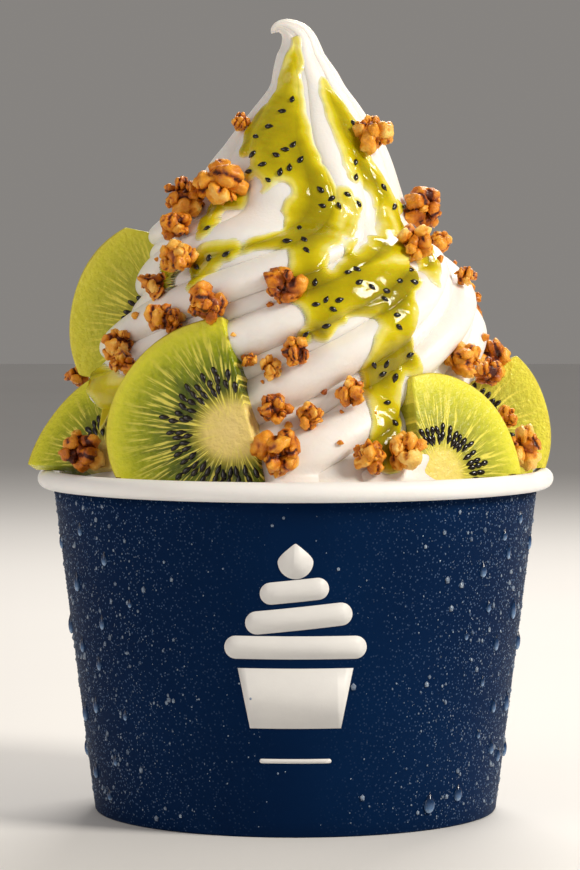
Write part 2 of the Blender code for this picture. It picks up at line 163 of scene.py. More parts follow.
def along(stations, position):
    """Smooth values at positions, between stations listed as (position, value)."""
    places, values = np.array(stations, float).T
    last = len(places) - 1
    low = np.maximum(np.arange(last + 1) - 1, 0)
    high = np.minimum(np.arange(last + 1) + 1, last)
    slopes = (values[high] - values[low]) / (places[high] - places[low])
    position = np.clip(position, places[0], places[-1])
    index = np.clip(np.searchsorted(places, position, side="right") - 1, 0, last - 1)
    width = places[index + 1] - places[index]
    t = (position - places[index]) / width
    return (
        values[index] * (1 + 2 * t) * (1 - t) ** 2 + values[index + 1] * t * t * (3 - 2 * t)
        + width * (slopes[index] * t * (1 - t) ** 2 - slopes[index + 1] * t * t * (1 - t))
    )


def smooth_step(low, high, value):
    """0 below low, 1 above high, with a smooth rise between them."""
    t = np.clip((value - low) / (high - low), 0.0, 1.0)
    return t * t * (3 - 2 * t)


def deselect():
    bpy.ops.object.select_all(action="DESELECT")


def work_on(item):
    """Make an object the only selected and active one."""
    deselect()
    item.select_set(True)
    bpy.context.view_layer.objects.active = item


def apply_modifiers(item):
    work_on(item)
    for modifier in list(item.modifiers):
        bpy.ops.object.modifier_apply(modifier=modifier.name)


def settle(item):
    """Put an object's place into its mesh."""
    work_on(item)
    bpy.ops.object.transform_apply(location=True, rotation=True, scale=True)


def joined(items, name):
    """Join objects into one piece."""
    deselect()
    for item in items:
        item.select_set(True)
    bpy.context.view_layer.objects.active = items[0]
    if len(items) > 1:
        bpy.ops.object.join()
    piece = bpy.context.view_layer.objects.active
    piece.name = name
    piece.data.name = name
    return piece


def dress(item, name, material, slot, *nodes):
    """Name a piece, give it its finish, tie it to the part and hide the solids it stands for."""
    item.name = name
    item.data.name = name
    item.data.materials.clear()
    item.data.materials.append(material)
    item.data.shade_smooth()
    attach(item, "root")
    if nodes:
        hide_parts(*nodes)
    return item


def mesh_points(item):
    points = np.empty(len(item.data.vertices) * 3)
    item.data.vertices.foreach_get("co", points)
    return points.reshape(-1, 3)


def move_points(item, points):
    item.data.vertices.foreach_set("co", np.asarray(points, float).reshape(-1))
    item.data.update()


def point_value(item, name, values):
    """Store a number at each point of a mesh, for its material to read."""
    layer = item.data.attributes.new(name, "FLOAT", "POINT")
    layer.data.foreach_set("value", np.asarray(values, float).reshape(-1))


def copies(pattern, matrices, name):
    """One piece of many copies of a small mesh, and the index of the copy at each point."""
    points = mesh_points(pattern)
    faces = [list(face.vertices) for face in pattern.data.polygons]
    turned = np.array([np.array(matrix) for matrix in matrices])
    placed = np.einsum("nij,vj->nvi", turned[:, :3, :3], points) + turned[:, None, :3, 3]
    count = len(points)
    every = [[i + number * count for i in face] for number in range(len(matrices)) for face in faces]
    mesh = bpy.data.meshes.new(name)
    mesh.from_pydata(placed.reshape(-1, 3).tolist(), [], every)
    item = bpy.data.objects.new(name, mesh)
    bpy.context.scene.collection.objects.link(item)
    bpy.data.objects.remove(pattern, do_unlink=True)
    return item, np.repeat(np.arange(len(matrices)), count)


# Materials

def group_of(name, inputs, outputs):
    """An empty node group with the given sockets."""
    group = bpy.data.node_groups.new(name, "ShaderNodeTree")
    for label, kind in inputs:
        group.interface.new_socket(label, in_out="INPUT", socket_type=kind)
    for label, kind in outputs:
        group.interface.new_socket(label, in_out="OUTPUT", socket_type=kind)
    return group, group.nodes.new("NodeGroupInput"), group.nodes.new("NodeGroupOutput")


def tone_group():
    """Mixes two colours in soft uneven patches."""
    group, start, end = group_of(
        "uneven tone",
        (("Vector", "NodeSocketVector"), ("Scale", "NodeSocketFloat"),
         ("First", "NodeSocketColor"), ("Second", "NodeSocketColor")),
        (("Color", "NodeSocketColor"), ("Amount", "NodeSocketFloat")),
    )
    clouds = group.nodes.new("ShaderNodeTexNoise")
    clouds.inputs["Detail"].default_value = 4.0
    spreading = group.nodes.new("ShaderNodeMapRange")
    spreading.inputs["From Min"].default_value = 0.32
    spreading.inputs["From Max"].default_value = 0.68
    mix = group.nodes.new("ShaderNodeMix")
    mix.data_type = "RGBA"
    group.links.new(start.outputs["Vector"], clouds.inputs["Vector"])
    group.links.new(start.outputs["Scale"], clouds.inputs["Scale"])
    group.links.new(clouds.outputs["Fac"], spreading.inputs["Value"])
    group.links.new(spreading.outputs["Result"], mix.inputs["Factor"])
    group.links.new(start.outputs["First"], mix.inputs["A"])
    group.links.new(start.outputs["Second"], mix.inputs["B"])
    group.links.new(mix.outputs["Result"], end.inputs["Color"])
    group.links.new(spreading.outputs["Result"], end.inputs["Amount"])
    return group


def relief_group():
    """Height of a surface with soft lumps and a finer grain."""
    group, start, end = group_of(
        "soft and fine relief",
        (("Vector", "NodeSocketVector"), ("Lumps", "NodeSocketFloat"),
         ("Grain", "NodeSocketFloat"), ("Grain Share", "NodeSocketFloat")),
        (("Height", "NodeSocketFloat"),),
    )
    lumps = group.nodes.new("ShaderNodeTexNoise")
    lumps.inputs["Detail"].default_value = 2.0
    grain = group.nodes.new("ShaderNodeTexNoise")
    grain.inputs["Detail"].default_value = 3.0
    share = group.nodes.new("ShaderNodeMath")
    share.operation = "MULTIPLY_ADD"
    for texture, label in ((lumps, "Lumps"), (grain, "Grain")):
        group.links.new(start.outputs["Vector"], texture.inputs["Vector"])
        group.links.new(start.outputs[label], texture.inputs["Scale"])
    group.links.new(grain.outputs["Fac"], share.inputs[0])
    group.links.new(start.outputs["Grain Share"], share.inputs[1])
    group.links.new(lumps.outputs["Fac"], share.inputs[2])
    group.links.new(share.outputs["Value"], end.inputs["Height"])
    return group


TONE = tone_group()
RELIEF = relief_group()


class Finish:
    """A material under construction: its Principled shader and what feeds it."""

    def __init__(self, name, roughness, **settings):
        self.material = bpy.data.materials.new(name)
        self.material.use_nodes = True
        self.tree = self.material.node_tree
        self.shader = self.tree.nodes["Principled BSDF"]
        self.shader.inputs["Roughness"].default_value = roughness
        for label, value in settings.items():
            self.shader.inputs[label.replace("_", " ")].default_value = value

    def node(self, kind, **inputs):
        made = self.tree.nodes.new(kind)
        for label, value in inputs.items():
            made.inputs[label.replace("_", " ")].default_value = value
        return made

    def link(self, source, target):
        self.tree.links.new(source, target)
        return self

    def place(self):
        return self.node("ShaderNodeTexCoord").outputs["Object"]

    def tone(self, scale, first, second, vector=None):
        made = self.tree.nodes.new("ShaderNodeGroup")
        made.node_tree = TONE
        made.inputs["Scale"].default_value = scale
        made.inputs["First"].default_value = (*first, 1.0)
        made.inputs["Second"].default_value = (*second, 1.0)
        self.link(vector or self.place(), made.inputs["Vector"])
        return made

    def relief(self, lumps, grain, share, strength, distance, vector=None):
        made = self.tree.nodes.new("ShaderNodeGroup")
        made.node_tree = RELIEF
        made.inputs["Lumps"].default_value = lumps
        made.inputs["Grain"].default_value = grain
        made.inputs["Grain Share"].default_value = share
        self.link(vector or self.place(), made.inputs["Vector"])
        self.bump(made.outputs["Height"], strength, distance)
        return made

    def bump(self, height, strength, distance):
        made = self.node("ShaderNodeBump", Strength=strength, Distance=distance)
        self.link(height, made.inputs["Height"])
        self.link(made.outputs["Normal"], self.shader.inputs["Normal"])
        return made

    def ramp(self, value, *stops):
        """A colour that follows a value through stops listed as (position, colour)."""
        made = self.tree.nodes.new("ShaderNodeValToRGB")
        elements = made.color_ramp.elements
        while len(elements) < len(stops):
            elements.new(0.5)
        for element, (position, colour) in zip(elements, stops):
            element.position = position
            element.color = (*colour, 1.0)
        self.link(value, made.inputs["Fac"])
        return made.outputs["Color"]

    def mix(self, factor, first, second):
        """Mix two colours; each is a socket or a plain colour."""
        made = self.tree.nodes.new("ShaderNodeMix")
        made.data_type = "RGBA"
        self.link(factor, made.inputs["Factor"])
        for label, colour in (("A", first), ("B", second)):
            if isinstance(colour, tuple):
                made.inputs[label].default_value = (*colour, 1.0)
            else:
                self.link(colour, made.inputs[label])
        return made.outputs["Result"]

    def sum(self, operation, first, second=0.0):
        made = self.tree.nodes.new("ShaderNodeMath")
        made.operation = operation
        for socket, value in zip(made.inputs, (first, second)):
            if isinstance(value, (int, float)):
                socket.default_value = value
            else:
                self.link(value, socket)
        return made.outputs["Value"]

    def colour(self, source):
        return self.link(source, self.shader.inputs["Base Color"])

    def stored(self, name):
        made = self.tree.nodes.new("ShaderNodeAttribute")
        made.attribute_name = name
        return made.outputs["Fac"]


def yogurt_finish():
    finish = Finish(
        "frozen yogurt", 0.42, Subsurface_Weight=0.35, Subsurface_Scale=0.0025,
        Subsurface_Radius=(1.0, 0.75, 0.55), Specular_IOR_Level=0.45,
    )
    tone = finish.tone(140.0, (0.90, 0.87, 0.835), (0.87, 0.83, 0.79))
    finish.colour(tone.outputs["Color"])
    finish.relief(300.0, 1900.0, 0.35, 0.22, 0.0006)
    return finish.material


def sauce_finish():
    """Clear fruit sauce: pale where it is thin, and a deep olive yellow where it pools."""
    finish = Finish(
        "kiwi sauce", 0.12, Coat_Weight=0.12, Coat_Roughness=0.02, Subsurface_Weight=0.2,
        Subsurface_Scale=0.0012, Specular_IOR_Level=0.28,
    )
    depth = finish.stored("depth")
    clouds = finish.node("ShaderNodeTexNoise", Scale=420.0, Detail=3.0)
    finish.link(finish.place(), clouds.inputs["Vector"])
    uneven = finish.sum("MULTIPLY_ADD", clouds.outputs["Fac"], 0.16)
    uneven.node.inputs[2].default_value = -0.08
    body = finish.sum("ADD", depth, uneven)
    finish.colour(finish.ramp(
        body, (0.0, (0.88, 0.83, 0.60)), (0.10, (0.80, 0.71, 0.17)), (0.24, (0.64, 0.53, 0.008)),
        (0.42, (0.48, 0.39, 0.001)), (0.65, (0.32, 0.26, 0.001)), (1.0, (0.20, 0.15, 0.001)),
    ))
    finish.relief(220.0, 900.0, 0.25, 0.4, 0.0008)
    return finish.material


def kiwi_finish():
    """Kiwi flesh: a cream core, pale rays, green flesh and a lighter granular edge."""
    finish = Finish(
        "kiwi flesh", 0.22, Subsurface_Weight=0.15, Subsurface_Scale=0.0010,
        Subsurface_Radius=(1.0, 1.0, 0.3), Coat_Weight=0.06, Coat_Roughness=0.06,
        Specular_IOR_Level=0.15,
    )
    place = finish.node("ShaderNodeUVMap")
    place.uv_map = "slice"
    centred = finish.node("ShaderNodeVectorMath")
    centred.operation = "MULTIPLY_ADD"
    centred.inputs[1].default_value = (2.0, 2.0, 0.0)
    centred.inputs[2].default_value = (-1.0, -1.0, 0.0)
    finish.link(place.outputs["UV"], centred.inputs[0])
    length = finish.node("ShaderNodeVectorMath")
    length.operation = "LENGTH"
    finish.link(centred.outputs["Vector"], length.inputs[0])
    radius = length.outputs["Value"]
    direction = finish.node("ShaderNodeVectorMath")
    direction.operation = "NORMALIZE"
    finish.link(centred.outputs["Vector"], direction.inputs[0])
    parts = finish.node("ShaderNodeSeparateXYZ")
    finish.link(direction.outputs["Vector"], parts.inputs["Vector"])
    polar = finish.node("ShaderNodeCombineXYZ")
    finish.link(parts.outputs["X"], polar.inputs["X"])
    finish.link(parts.outputs["Y"], polar.inputs["Y"])
    finish.link(finish.sum("MULTIPLY", radius, 0.16), polar.inputs["Z"])
    streaks = finish.node("ShaderNodeTexNoise", Scale=26.0, Detail=2.0, Roughness=0.55)
    finish.link(polar.outputs["Vector"], streaks.inputs["Vector"])
    ray = finish.node("ShaderNodeMapRange", From_Min=0.50, From_Max=0.62)
    finish.link(streaks.outputs["Fac"], ray.inputs["Value"])
    furrows = finish.node("ShaderNodeTexNoise", Scale=11.0, Detail=2.0, Roughness=0.5)
    finish.link(polar.outputs["Vector"], furrows.inputs["Vector"])
    furrow = finish.node("ShaderNodeMapRange", From_Min=0.48, From_Max=0.66)
    finish.link(furrows.outputs["Fac"], furrow.inputs["Value"])
    ray_reach = finish.ramp(
        radius, (0.10, (0.2, 0.2, 0.2)), (0.28, (1.0, 1.0, 1.0)), (0.68, (0.85, 0.85, 0.85)),
        (0.95, (0.0, 0.0, 0.0)),
    )
    furrow_reach = finish.ramp(
        radius, (0.26, (0.0, 0.0, 0.0)), (0.42, (0.85, 0.85, 0.85)), (0.62, (0.7, 0.7, 0.7)),
        (0.84, (0.0, 0.0, 0.0)),
    )
    flesh = finish.ramp(
        radius, (0.0, (0.88, 0.68, 0.26)), (0.21, (0.82, 0.64, 0.20)), (0.29, (0.36, 0.31, 0.03)),
        (0.35, (0.085, 0.105, 0.001)), (0.50, (0.085, 0.120, 0.001)), (0.62, (0.17, 0.225, 0.001)),
        (0.80, (0.34, 0.38, 0.002)),
        (0.93, (0.66, 0.65, 0.025)), (0.985, (0.70, 0.62, 0.06)), (1.0, (0.24, 0.13, 0.02)),
    )
    deep = finish.mix(
        finish.sum("MULTIPLY", furrow.outputs["Result"], furrow_reach), flesh, (0.045, 0.075, 0.001))
    rays = finish.mix(
        finish.sum("MULTIPLY", ray.outputs["Result"], ray_reach), deep, (0.86, 0.75, 0.13))
    mottle = finish.tone(1100.0, (0.0, 0.0, 0.0), (1.0, 1.0, 1.0))
    grain_reach = finish.ramp(
        radius, (0.25, (0.0, 0.0, 0.0)), (0.6, (0.08, 0.08, 0.08)), (0.9, (0.40, 0.40, 0.40)))
    grains = finish.sum("MULTIPLY", mottle.outputs["Amount"], grain_reach)
    grainy = finish.mix(grains, rays, (0.80, 0.74, 0.04))
    # Painted light: slices with light coming through them are mixed towards a pale yellow by their stored
    # backlight.
    finish.colour(finish.mix(finish.stored("backlight"), grainy, (0.92, 0.84, 0.13)))
    finish.relief(900.0, 2600.0, 0.3, 0.50, 0.0008)
    return finish.material


def seed_finish():
    finish = Finish("kiwi seeds", 0.16, Specular_IOR_Level=0.5)
    finish.colour(finish.tone(500.0, (0.002, 0.0015, 0.001), (0.014, 0.007, 0.003)).outputs["Color"])
    finish.relief(1500.0, 4000.0, 0.3, 0.15, 0.0002)
    return finish.material


def granola_finish():
    """Baked oats and nuts in a caramel glaze; tone is stored at each point, and on the clusters it carries
    painted shade in the creases and towards each cluster's middle and painted light at the outer tips.
    """
    finish = Finish(
        "baked granola", 0.36, Coat_Weight=0.12, Coat_Roughness=0.15, Subsurface_Weight=0.12,
        Subsurface_Scale=0.001, Subsurface_Radius=(1.0, 0.4, 0.1), Specular_IOR_Level=0.3,
    )
    patches = finish.tone(450.0, (0.0, 0.0, 0.0), (1.0, 1.0, 1.0))
    share = finish.sum("MULTIPLY_ADD", patches.outputs["Amount"], 0.45)
    finish.link(finish.sum("SUBTRACT", finish.stored("tone"), 0.2), share.node.inputs[2])
    finish.colour(finish.ramp(
        share, (0.0, (0.07, 0.008, 0.0005)), (0.20, (0.33, 0.065, 0.002)), (0.44, (0.64, 0.19, 0.005)),
        (0.75, (0.88, 0.38, 0.030)), (1.0, (1.0, 0.62, 0.15)),
    ))
    finish.relief(900.0, 3200.0, 0.5, 0.55, 0.0006)
    return finish.material


def print_finish():
    """Satin navy ink on paper, with pale specks of painted highlight for fine beads, more of them towards the
    sides.
    """
    finish = Finish("navy print", 0.5, Specular_IOR_Level=0.03)
    ink = finish.tone(35.0, (0.0004, 0.0100, 0.044), (0.0008, 0.0135, 0.056)).outputs["Color"]
    parts = finish.node("ShaderNodeSeparateXYZ")
    finish.link(finish.place(), parts.inputs["Vector"])
    side = finish.sum("DIVIDE", finish.sum("ABSOLUTE", parts.outputs["X"]), WALL_TOP_RADIUS)
    specks = finish.node("ShaderNodeTexVoronoi", Scale=1500.0, Randomness=1.0)
    finish.link(finish.place(), specks.inputs["Vector"])
    speck = finish.node("ShaderNodeMapRange", From_Min=0.30, From_Max=0.16)
    finish.link(specks.outputs["Distance"], speck.inputs["Value"])
    # Fine beads: specks painted pale as their highlight, which also bump the surface.
    beads_with_painted_glint = finish.sum("MULTIPLY", speck.outputs["Result"], finish.sum("POWER", side, 1.5))
    finish.colour(finish.mix(beads_with_painted_glint, ink, (0.10, 0.17, 0.31)))
    finish.bump(beads_with_painted_glint, 0.6, 0.0002)
    return finish.material


def white_ink_finish():
    finish = Finish("white print", 0.45)
    finish.colour(finish.tone(120.0, (0.80, 0.79, 0.77), (0.74, 0.73, 0.72)).outputs["Color"])
    finish.relief(500.0, 3000.0, 0.5, 0.10, 0.0003)
    return finish.material


def board_finish():
    """Bare white paper board."""
    finish = Finish("white board", 0.5, Subsurface_Weight=0.05, Subsurface_Scale=0.001)
    finish.colour(finish.tone(90.0, (0.90, 0.89, 0.875), (0.86, 0.845, 0.825)).outputs["Color"])
    finish.relief(350.0, 2500.0, 0.6, 0.15, 0.0004)
    return finish.material


def water_finish():
    """Clear drops on the navy print, dark above, with painted light below where they would be lit through."""
    finish = Finish("water", 0.04, Transmission_Weight=0.25, IOR=1.33, Specular_IOR_Level=1.0)
    finish.colour(finish.ramp(
        finish.stored("painted_glow"), (0.0, (0.002, 0.014, 0.055)), (0.5, (0.02, 0.07, 0.19)),
        (0.85, (0.10, 0.21, 0.42)), (1.0, (0.34, 0.50, 0.76)),
    ))
    finish.relief(300.0, 1200.0, 0.3, 0.05, 0.0002)
    return finish.material


def mist_finish():
    """Beads too fine to see through, which take a little of the print's colour, in patches up to a pale blue
    that is painted highlight.
    """
    finish = Finish("mist", 0.08, Transmission_Weight=0.35, IOR=1.33, Specular_IOR_Level=0.9)
    finish.colour(finish.tone(900.0, (0.05, 0.10, 0.21), (0.42, 0.52, 0.66)).outputs["Color"])
    return finish.material


def floor_finish():
    finish = Finish("pale floor", 0.6)
    finish.colour(finish.tone(3.0, (0.82, 0.81, 0.80), (0.79, 0.78, 0.77)).outputs["Color"])
    return finish.material


YOGURT = yogurt_finish()
SAUCE = sauce_finish()
KIWI = kiwi_finish()
SEED = seed_finish()
GRANOLA = granola_finish()
PRINT = print_finish()
WHITE_INK = white_ink_finish()
BOARD = board_finish()
WATER = water_finish()
MIST = mist_finish()
FLOOR = floor_finish()


# Paper cup

def wall_radius(height):
    """Outside radius of the paper wall at a height."""
    return WALL_FOOT_RADIUS + (WALL_TOP_RADIUS - WALL_FOOT_RADIUS) * height / UNDER_ROLL


def turned(profile, steps, name):
    """A closed section at +X spun round the axis in edit mode."""
    bpy.ops.mesh.primitive_circle_add(vertices=len(profile), radius=1.0)
    item = bpy.context.object
    move_points(item, [(radius, 0.0, height) for radius, height in profile])
    bpy.ops.object.mode_set(mode="EDIT")
    bpy.ops.mesh.select_all(action="SELECT")
    bpy.ops.mesh.spin(steps=steps, angle=math.tau, center=(0, 0, 0), axis=(0, 0, 1))
    bpy.ops.mesh.select_all(action="SELECT")
    bpy.ops.mesh.remove_doubles(threshold=0.01 * MM)
    bpy.ops.mesh.normals_make_consistent(inside=False)
    bpy.ops.object.mode_set(mode="OBJECT")
    item.name = name
    return item


def arc(middle_radius, middle_height, radius, start, end, count):
    """Points on an arc of a section, between two directions in degrees."""
    points = []
    for step in range(count):
        angle = math.radians(start + (end - start) * step / (count - 1))
        points.append((middle_radius + radius * math.cos(angle),
                       middle_height + radius * math.sin(angle)))
    return points


SEAM_TURN = 180.0                   # the wall's edges overlap at the back
SEAM_RUN = 26.0                     # turn over which the upper layer lifts off the lower one
SEAM_LIFT = 0.35 * MM


def cup_wall():
    """The tapered wall, with the overlap of its side seam at the back and its folded foot."""
    levels = [0.4 * MM + (UNDER_ROLL - 0.4 * MM) * step / 24 for step in range(25)]
    profile = [(wall_radius(level), level) for level in reversed(levels)]
    profile += [(WALL_FOOT_RADIUS - 0.15 * MM, 0.1 * MM), (WALL_FOOT_RADIUS - 0.4 * MM, 0.0)]
    profile += [(WALL_FOOT_RADIUS - FOOT_WIDTH + 0.1 * MM, 0.0), (WALL_FOOT_RADIUS - FOOT_WIDTH, 0.2 * MM)]
    profile += [(wall_radius(FOOT_HEIGHT) - FOOT_WIDTH, FOOT_HEIGHT)]
    profile += [(wall_radius(FOOT_HEIGHT) - PAPER, FOOT_HEIGHT)]
    profile += [(wall_radius(UNDER_ROLL) - PAPER, UNDER_ROLL)]
    item = turned(profile, 288, "cup_wall_print")
    points = mesh_points(item)
    turn = np.degrees(np.arctan2(points[:, 0], -points[:, 1])) % 360.0
    radius = np.hypot(points[:, 0], points[:, 1])
    outside = radius > wall_radius(points[:, 2]) - 0.3 * PAPER
    overlap = np.where((turn <= SEAM_TURN) & (turn > SEAM_TURN - SEAM_RUN),
                       (turn - SEAM_TURN + SEAM_RUN) / SEAM_RUN, 0.0)
    low = smooth_step(1.0 * MM, 3.0 * MM, points[:, 2])
    growth = 1.0 + SEAM_LIFT * overlap * low * outside / radius
    points[:, 0] *= growth
    points[:, 1] *= growth
    move_points(item, points)
    return dress(item, "cup_wall_print", PRINT, "printed_paper", "cup_wall")


def cup_rim():
    """The rolled rim and the white inside edge below it."""
    middle = (RIM_RADIUS - ROLL_RADIUS, CUP_HEIGHT - ROLL_RADIUS)
    profile = arc(*middle, ROLL_RADIUS, 200, -128, 40)
    profile += [(wall_radius(UNDER_ROLL) + 0.03 * MM, UNDER_ROLL - 0.15 * MM)]
    inner = 58.5 * MM
    profile += [(wall_radius(inner) - PAPER + 0.05 * MM, UNDER_ROLL - 0.25 * MM)]
    profile += [(wall_radius(inner) - PAPER + 0.05 * MM, inner), (wall_radius(inner) - PAPER - 0.1 * MM, inner)]
    item = turned(profile, 192, "cup_rim")
    return dress(item, "cup_rim", BOARD, "printed_paper")


# Print: a plain pictogram of a piled-up serving, wrapped on the wall

PRINT_LIFT = 0.05 * MM


def pill(width, height, across, level, slant=0.0):
    """A bar with round ends, as a flat outline: across is along the wall, level is its height."""
    reach = height / 2
    straight = width / 2 - reach
    points = arc(straight, 0.0, reach, -90, 90, 14) + arc(-straight, 0.0, reach, 90, 270, 14)
    lean = math.radians(slant)
    return [
        (across + x * math.cos(lean) - y * math.sin(lean),
         level + x * math.sin(lean) + y * math.cos(lean)) for x, y in points
    ]


def tub(top, foot, height, level):
    """The outline of a small tapered tub."""
    return [(-foot / 2, level), (foot / 2, level), (top / 2, level + height), (-top / 2, level + height)]


def teardrop(width, height, level):
    """The outline of a drop with its point up."""
    points = []
    for step in range(40):
        angle = math.tau * step / 40
        sharpening = 1.0 - 0.72 * max(0.0, math.sin(angle)) ** 1.5
        points.append((width / 2 * math.cos(angle) * sharpening,
                       level + height / 2 * math.sin(angle)))
    return points


def printed(outlines):
    """Flat outlines laid on the wall at the front."""
    made = []
    for outline in outlines:
        bpy.ops.mesh.primitive_circle_add(vertices=len(outline), radius=1.0, fill_type="NGON")
        item = bpy.context.object
        move_points(item, [(x, 0.0, z) for x, z in outline])
        bpy.ops.object.mode_set(mode="EDIT")
        low = min(x for x, _ in outline)
        high = max(x for x, _ in outline)
        steps = max(2, int((high - low) / (1.5 * MM)))
        for step in range(1, steps):
            bpy.ops.mesh.select_all(action="SELECT")
            bpy.ops.mesh.bisect(plane_co=(low + (high - low) * step / steps, 0, 0), plane_no=(1, 0, 0))
        bpy.ops.object.mode_set(mode="OBJECT")
        points = mesh_points(item)
        radius = np.array([wall_radius(z) for z in points[:, 2]]) + PRINT_LIFT
        angle = points[:, 0] / radius
        move_points(item, np.stack((radius * np.sin(angle), -radius * np.cos(angle), points[:, 2]), 1))
        bpy.ops.object.mode_set(mode="EDIT")
        bpy.ops.mesh.select_all(action="SELECT")
        bpy.ops.mesh.normals_make_consistent(inside=False)
        bpy.ops.object.mode_set(mode="OBJECT")
        thickness = item.modifiers.new("ink", "SOLIDIFY")
        thickness.thickness = 0.1 * MM
        thickness.offset = 0.0
        apply_modifiers(item)
        made.append(item)
    return dress(joined(made, "cup_print"), "cup_print", WHITE_INK, "printed_paper")


def cup_print():
    return printed([
        tub(21.0 * MM, 16.5 * MM, 11.0 * MM, 20.2 * MM),
        pill(26.0 * MM, 4.2 * MM, 0.0, 35.0 * MM),
        pill(19.5 * MM, 4.2 * MM, 0.6 * MM, 40.3 * MM, 6.0),
        pill(12.5 * MM, 4.0 * MM, -0.2 * MM, 45.3 * MM, 6.0),
        teardrop(6.4 * MM, 6.4 * MM, 50.7 * MM),
        pill(13.0 * MM, 0.8 * MM, 0.0, 14.2 * MM),
    ])


# Swirl

def crowd(turn):
    return turn - np.degrees(CROWDING * np.sin(np.radians(turn - CROWDED_TURN)))


def spread(turn):
    even = turn
    for _ in range(SPREAD_PASSES):
        even = turn + np.degrees(CROWDING * np.sin(np.radians(even - CROWDED_TURN)))
    return even


def ridge_height(share, height):
    """How high the ridges stand, 0 in a groove and 1 on a broad ridge, at a share of the pitch."""
    share = (share + 0.5) % 1.0 - 0.5
    broad = np.sqrt(np.clip(1.0 - (share / BROAD_HALF) ** 2, 0.0, 1.0))
    across = (0.5 - np.abs(share)) / THIN_HALF
    thin = along(THIN_HEIGHT, height) * np.sqrt(np.clip(1.0 - across ** 2, 0.0, 1.0))
    return np.where(np.abs(share) < BROAD_HALF, broad, thin)


def outline_radius(turn, height):
    """Radius over the ridges, with the slanting tiers and the uneven coils on the left."""
    slanted = height + along(SLANT, height) * np.sin(np.radians(turn))
    towards = np.maximum(0.0, np.cos(np.radians(turn - LEFT_TURN))) ** 2
    bulge = LEFT_BULGE * np.exp(-((height - LEFT_BULGE_HEIGHT) / LEFT_BULGE_REACH) ** 2)
    hollow = LEFT_HOLLOW * np.exp(-((height - LEFT_HOLLOW_HEIGHT) / LEFT_HOLLOW_REACH) ** 2)
    return along(OUTLINE, slanted) + towards * (bulge - hollow)


def swirl_surface(column, level, lift=0.0, filling=0.0):
    """Points of the swirl, in arrays.

    A column is counted in ridge pitches. A level is the height, and above the peak's start it
    runs on along the curl. The lift stands off the surface, and the filling is the share of
    each groove that is filled up.
    """
    height = np.minimum(level, PEAK_HEIGHT)
    turn = crowd(along(WINDING, height) + column * RIDGE_PITCH)
    rise = np.clip((height - SHOULDER_HEIGHT) / SHOULDER_FADE, 0.0, 1.0)
    drop = 1.0 - ridge_height(column, height)
    drop = drop - GROOVE_ROUNDING * drop ** 4
    hollow = RIDGE_DEPTH * rise * drop * (1.0 - filling)
    ring = np.clip((level - PEAK_HEIGHT) / PEAK_STEP, 0.0, len(PEAK) - 1)
    across, up, neck, curl = (
        along([(i, row[k]) for i, row in enumerate(PEAK)], ring) for k in range(4)
    )
    on_peak = level > PEAK_HEIGHT
    radius = np.where(on_peak, neck, outline_radius(turn, height)) * (1.0 - hollow) + lift
    middle_x = np.where(on_peak, across, along(LEAN, height))
    middle_z = np.where(on_peak, up, height)
    curl = np.radians(np.where(on_peak, curl, 0.0))
    angle = np.radians(turn)
    side = radius * np.sin(angle)
    return np.stack((
        middle_x + side * np.cos(curl), -radius * np.cos(angle), middle_z + side * np.sin(curl),
    ), -1)


def column_at(turn, height):
    """The column that passes through a turn at a height."""
    return (spread(turn) - along(WINDING, height)) / RIDGE_PITCH


def grid_piece(points, name):
    """A surface through rows of points, from a grid primitive."""
    rows, columns = points.shape[:2]
    bpy.ops.mesh.primitive_grid_add(x_subdivisions=columns - 1, y_subdivisions=rows - 1)
    item = bpy.context.object
    item.name = name
    move_points(item, points.reshape(-1, 3))
    return item


def drop_points(item, unwanted):
    """Delete the marked points of a mesh and merge those that meet."""
    work_on(item)
    item.data.vertices.foreach_set("select", unwanted)
    item.data.polygons.foreach_set("select", [False] * len(item.data.polygons))
    item.data.edges.foreach_set("select", [False] * len(item.data.edges))
    bpy.ops.object.mode_set(mode="EDIT")
    bpy.ops.mesh.select_mode(type="VERT")
    bpy.ops.mesh.delete(type="VERT")
    bpy.ops.mesh.select_all(action="SELECT")
    bpy.ops.mesh.remove_doubles(threshold=0.004 * MM)
    bpy.ops.mesh.select_all(action="SELECT")
    bpy.ops.mesh.normals_make_consistent(inside=False)
    bpy.ops.object.mode_set(mode="OBJECT")


def ridge_columns():
    """Columns of the fine swirl, closer together towards the grooves."""
    broad = BROAD_HALF * np.sin(np.radians(np.linspace(-90, 90, 25)))
    thin = 0.5 + THIN_HALF * np.sin(np.radians(np.linspace(-90, 90, 15)))
    shares = np.concatenate((broad, thin[1:-1]))
    return np.concatenate([ridge + shares for ridge in range(RIDGES)] + [[RIDGES - BROAD_HALF]])


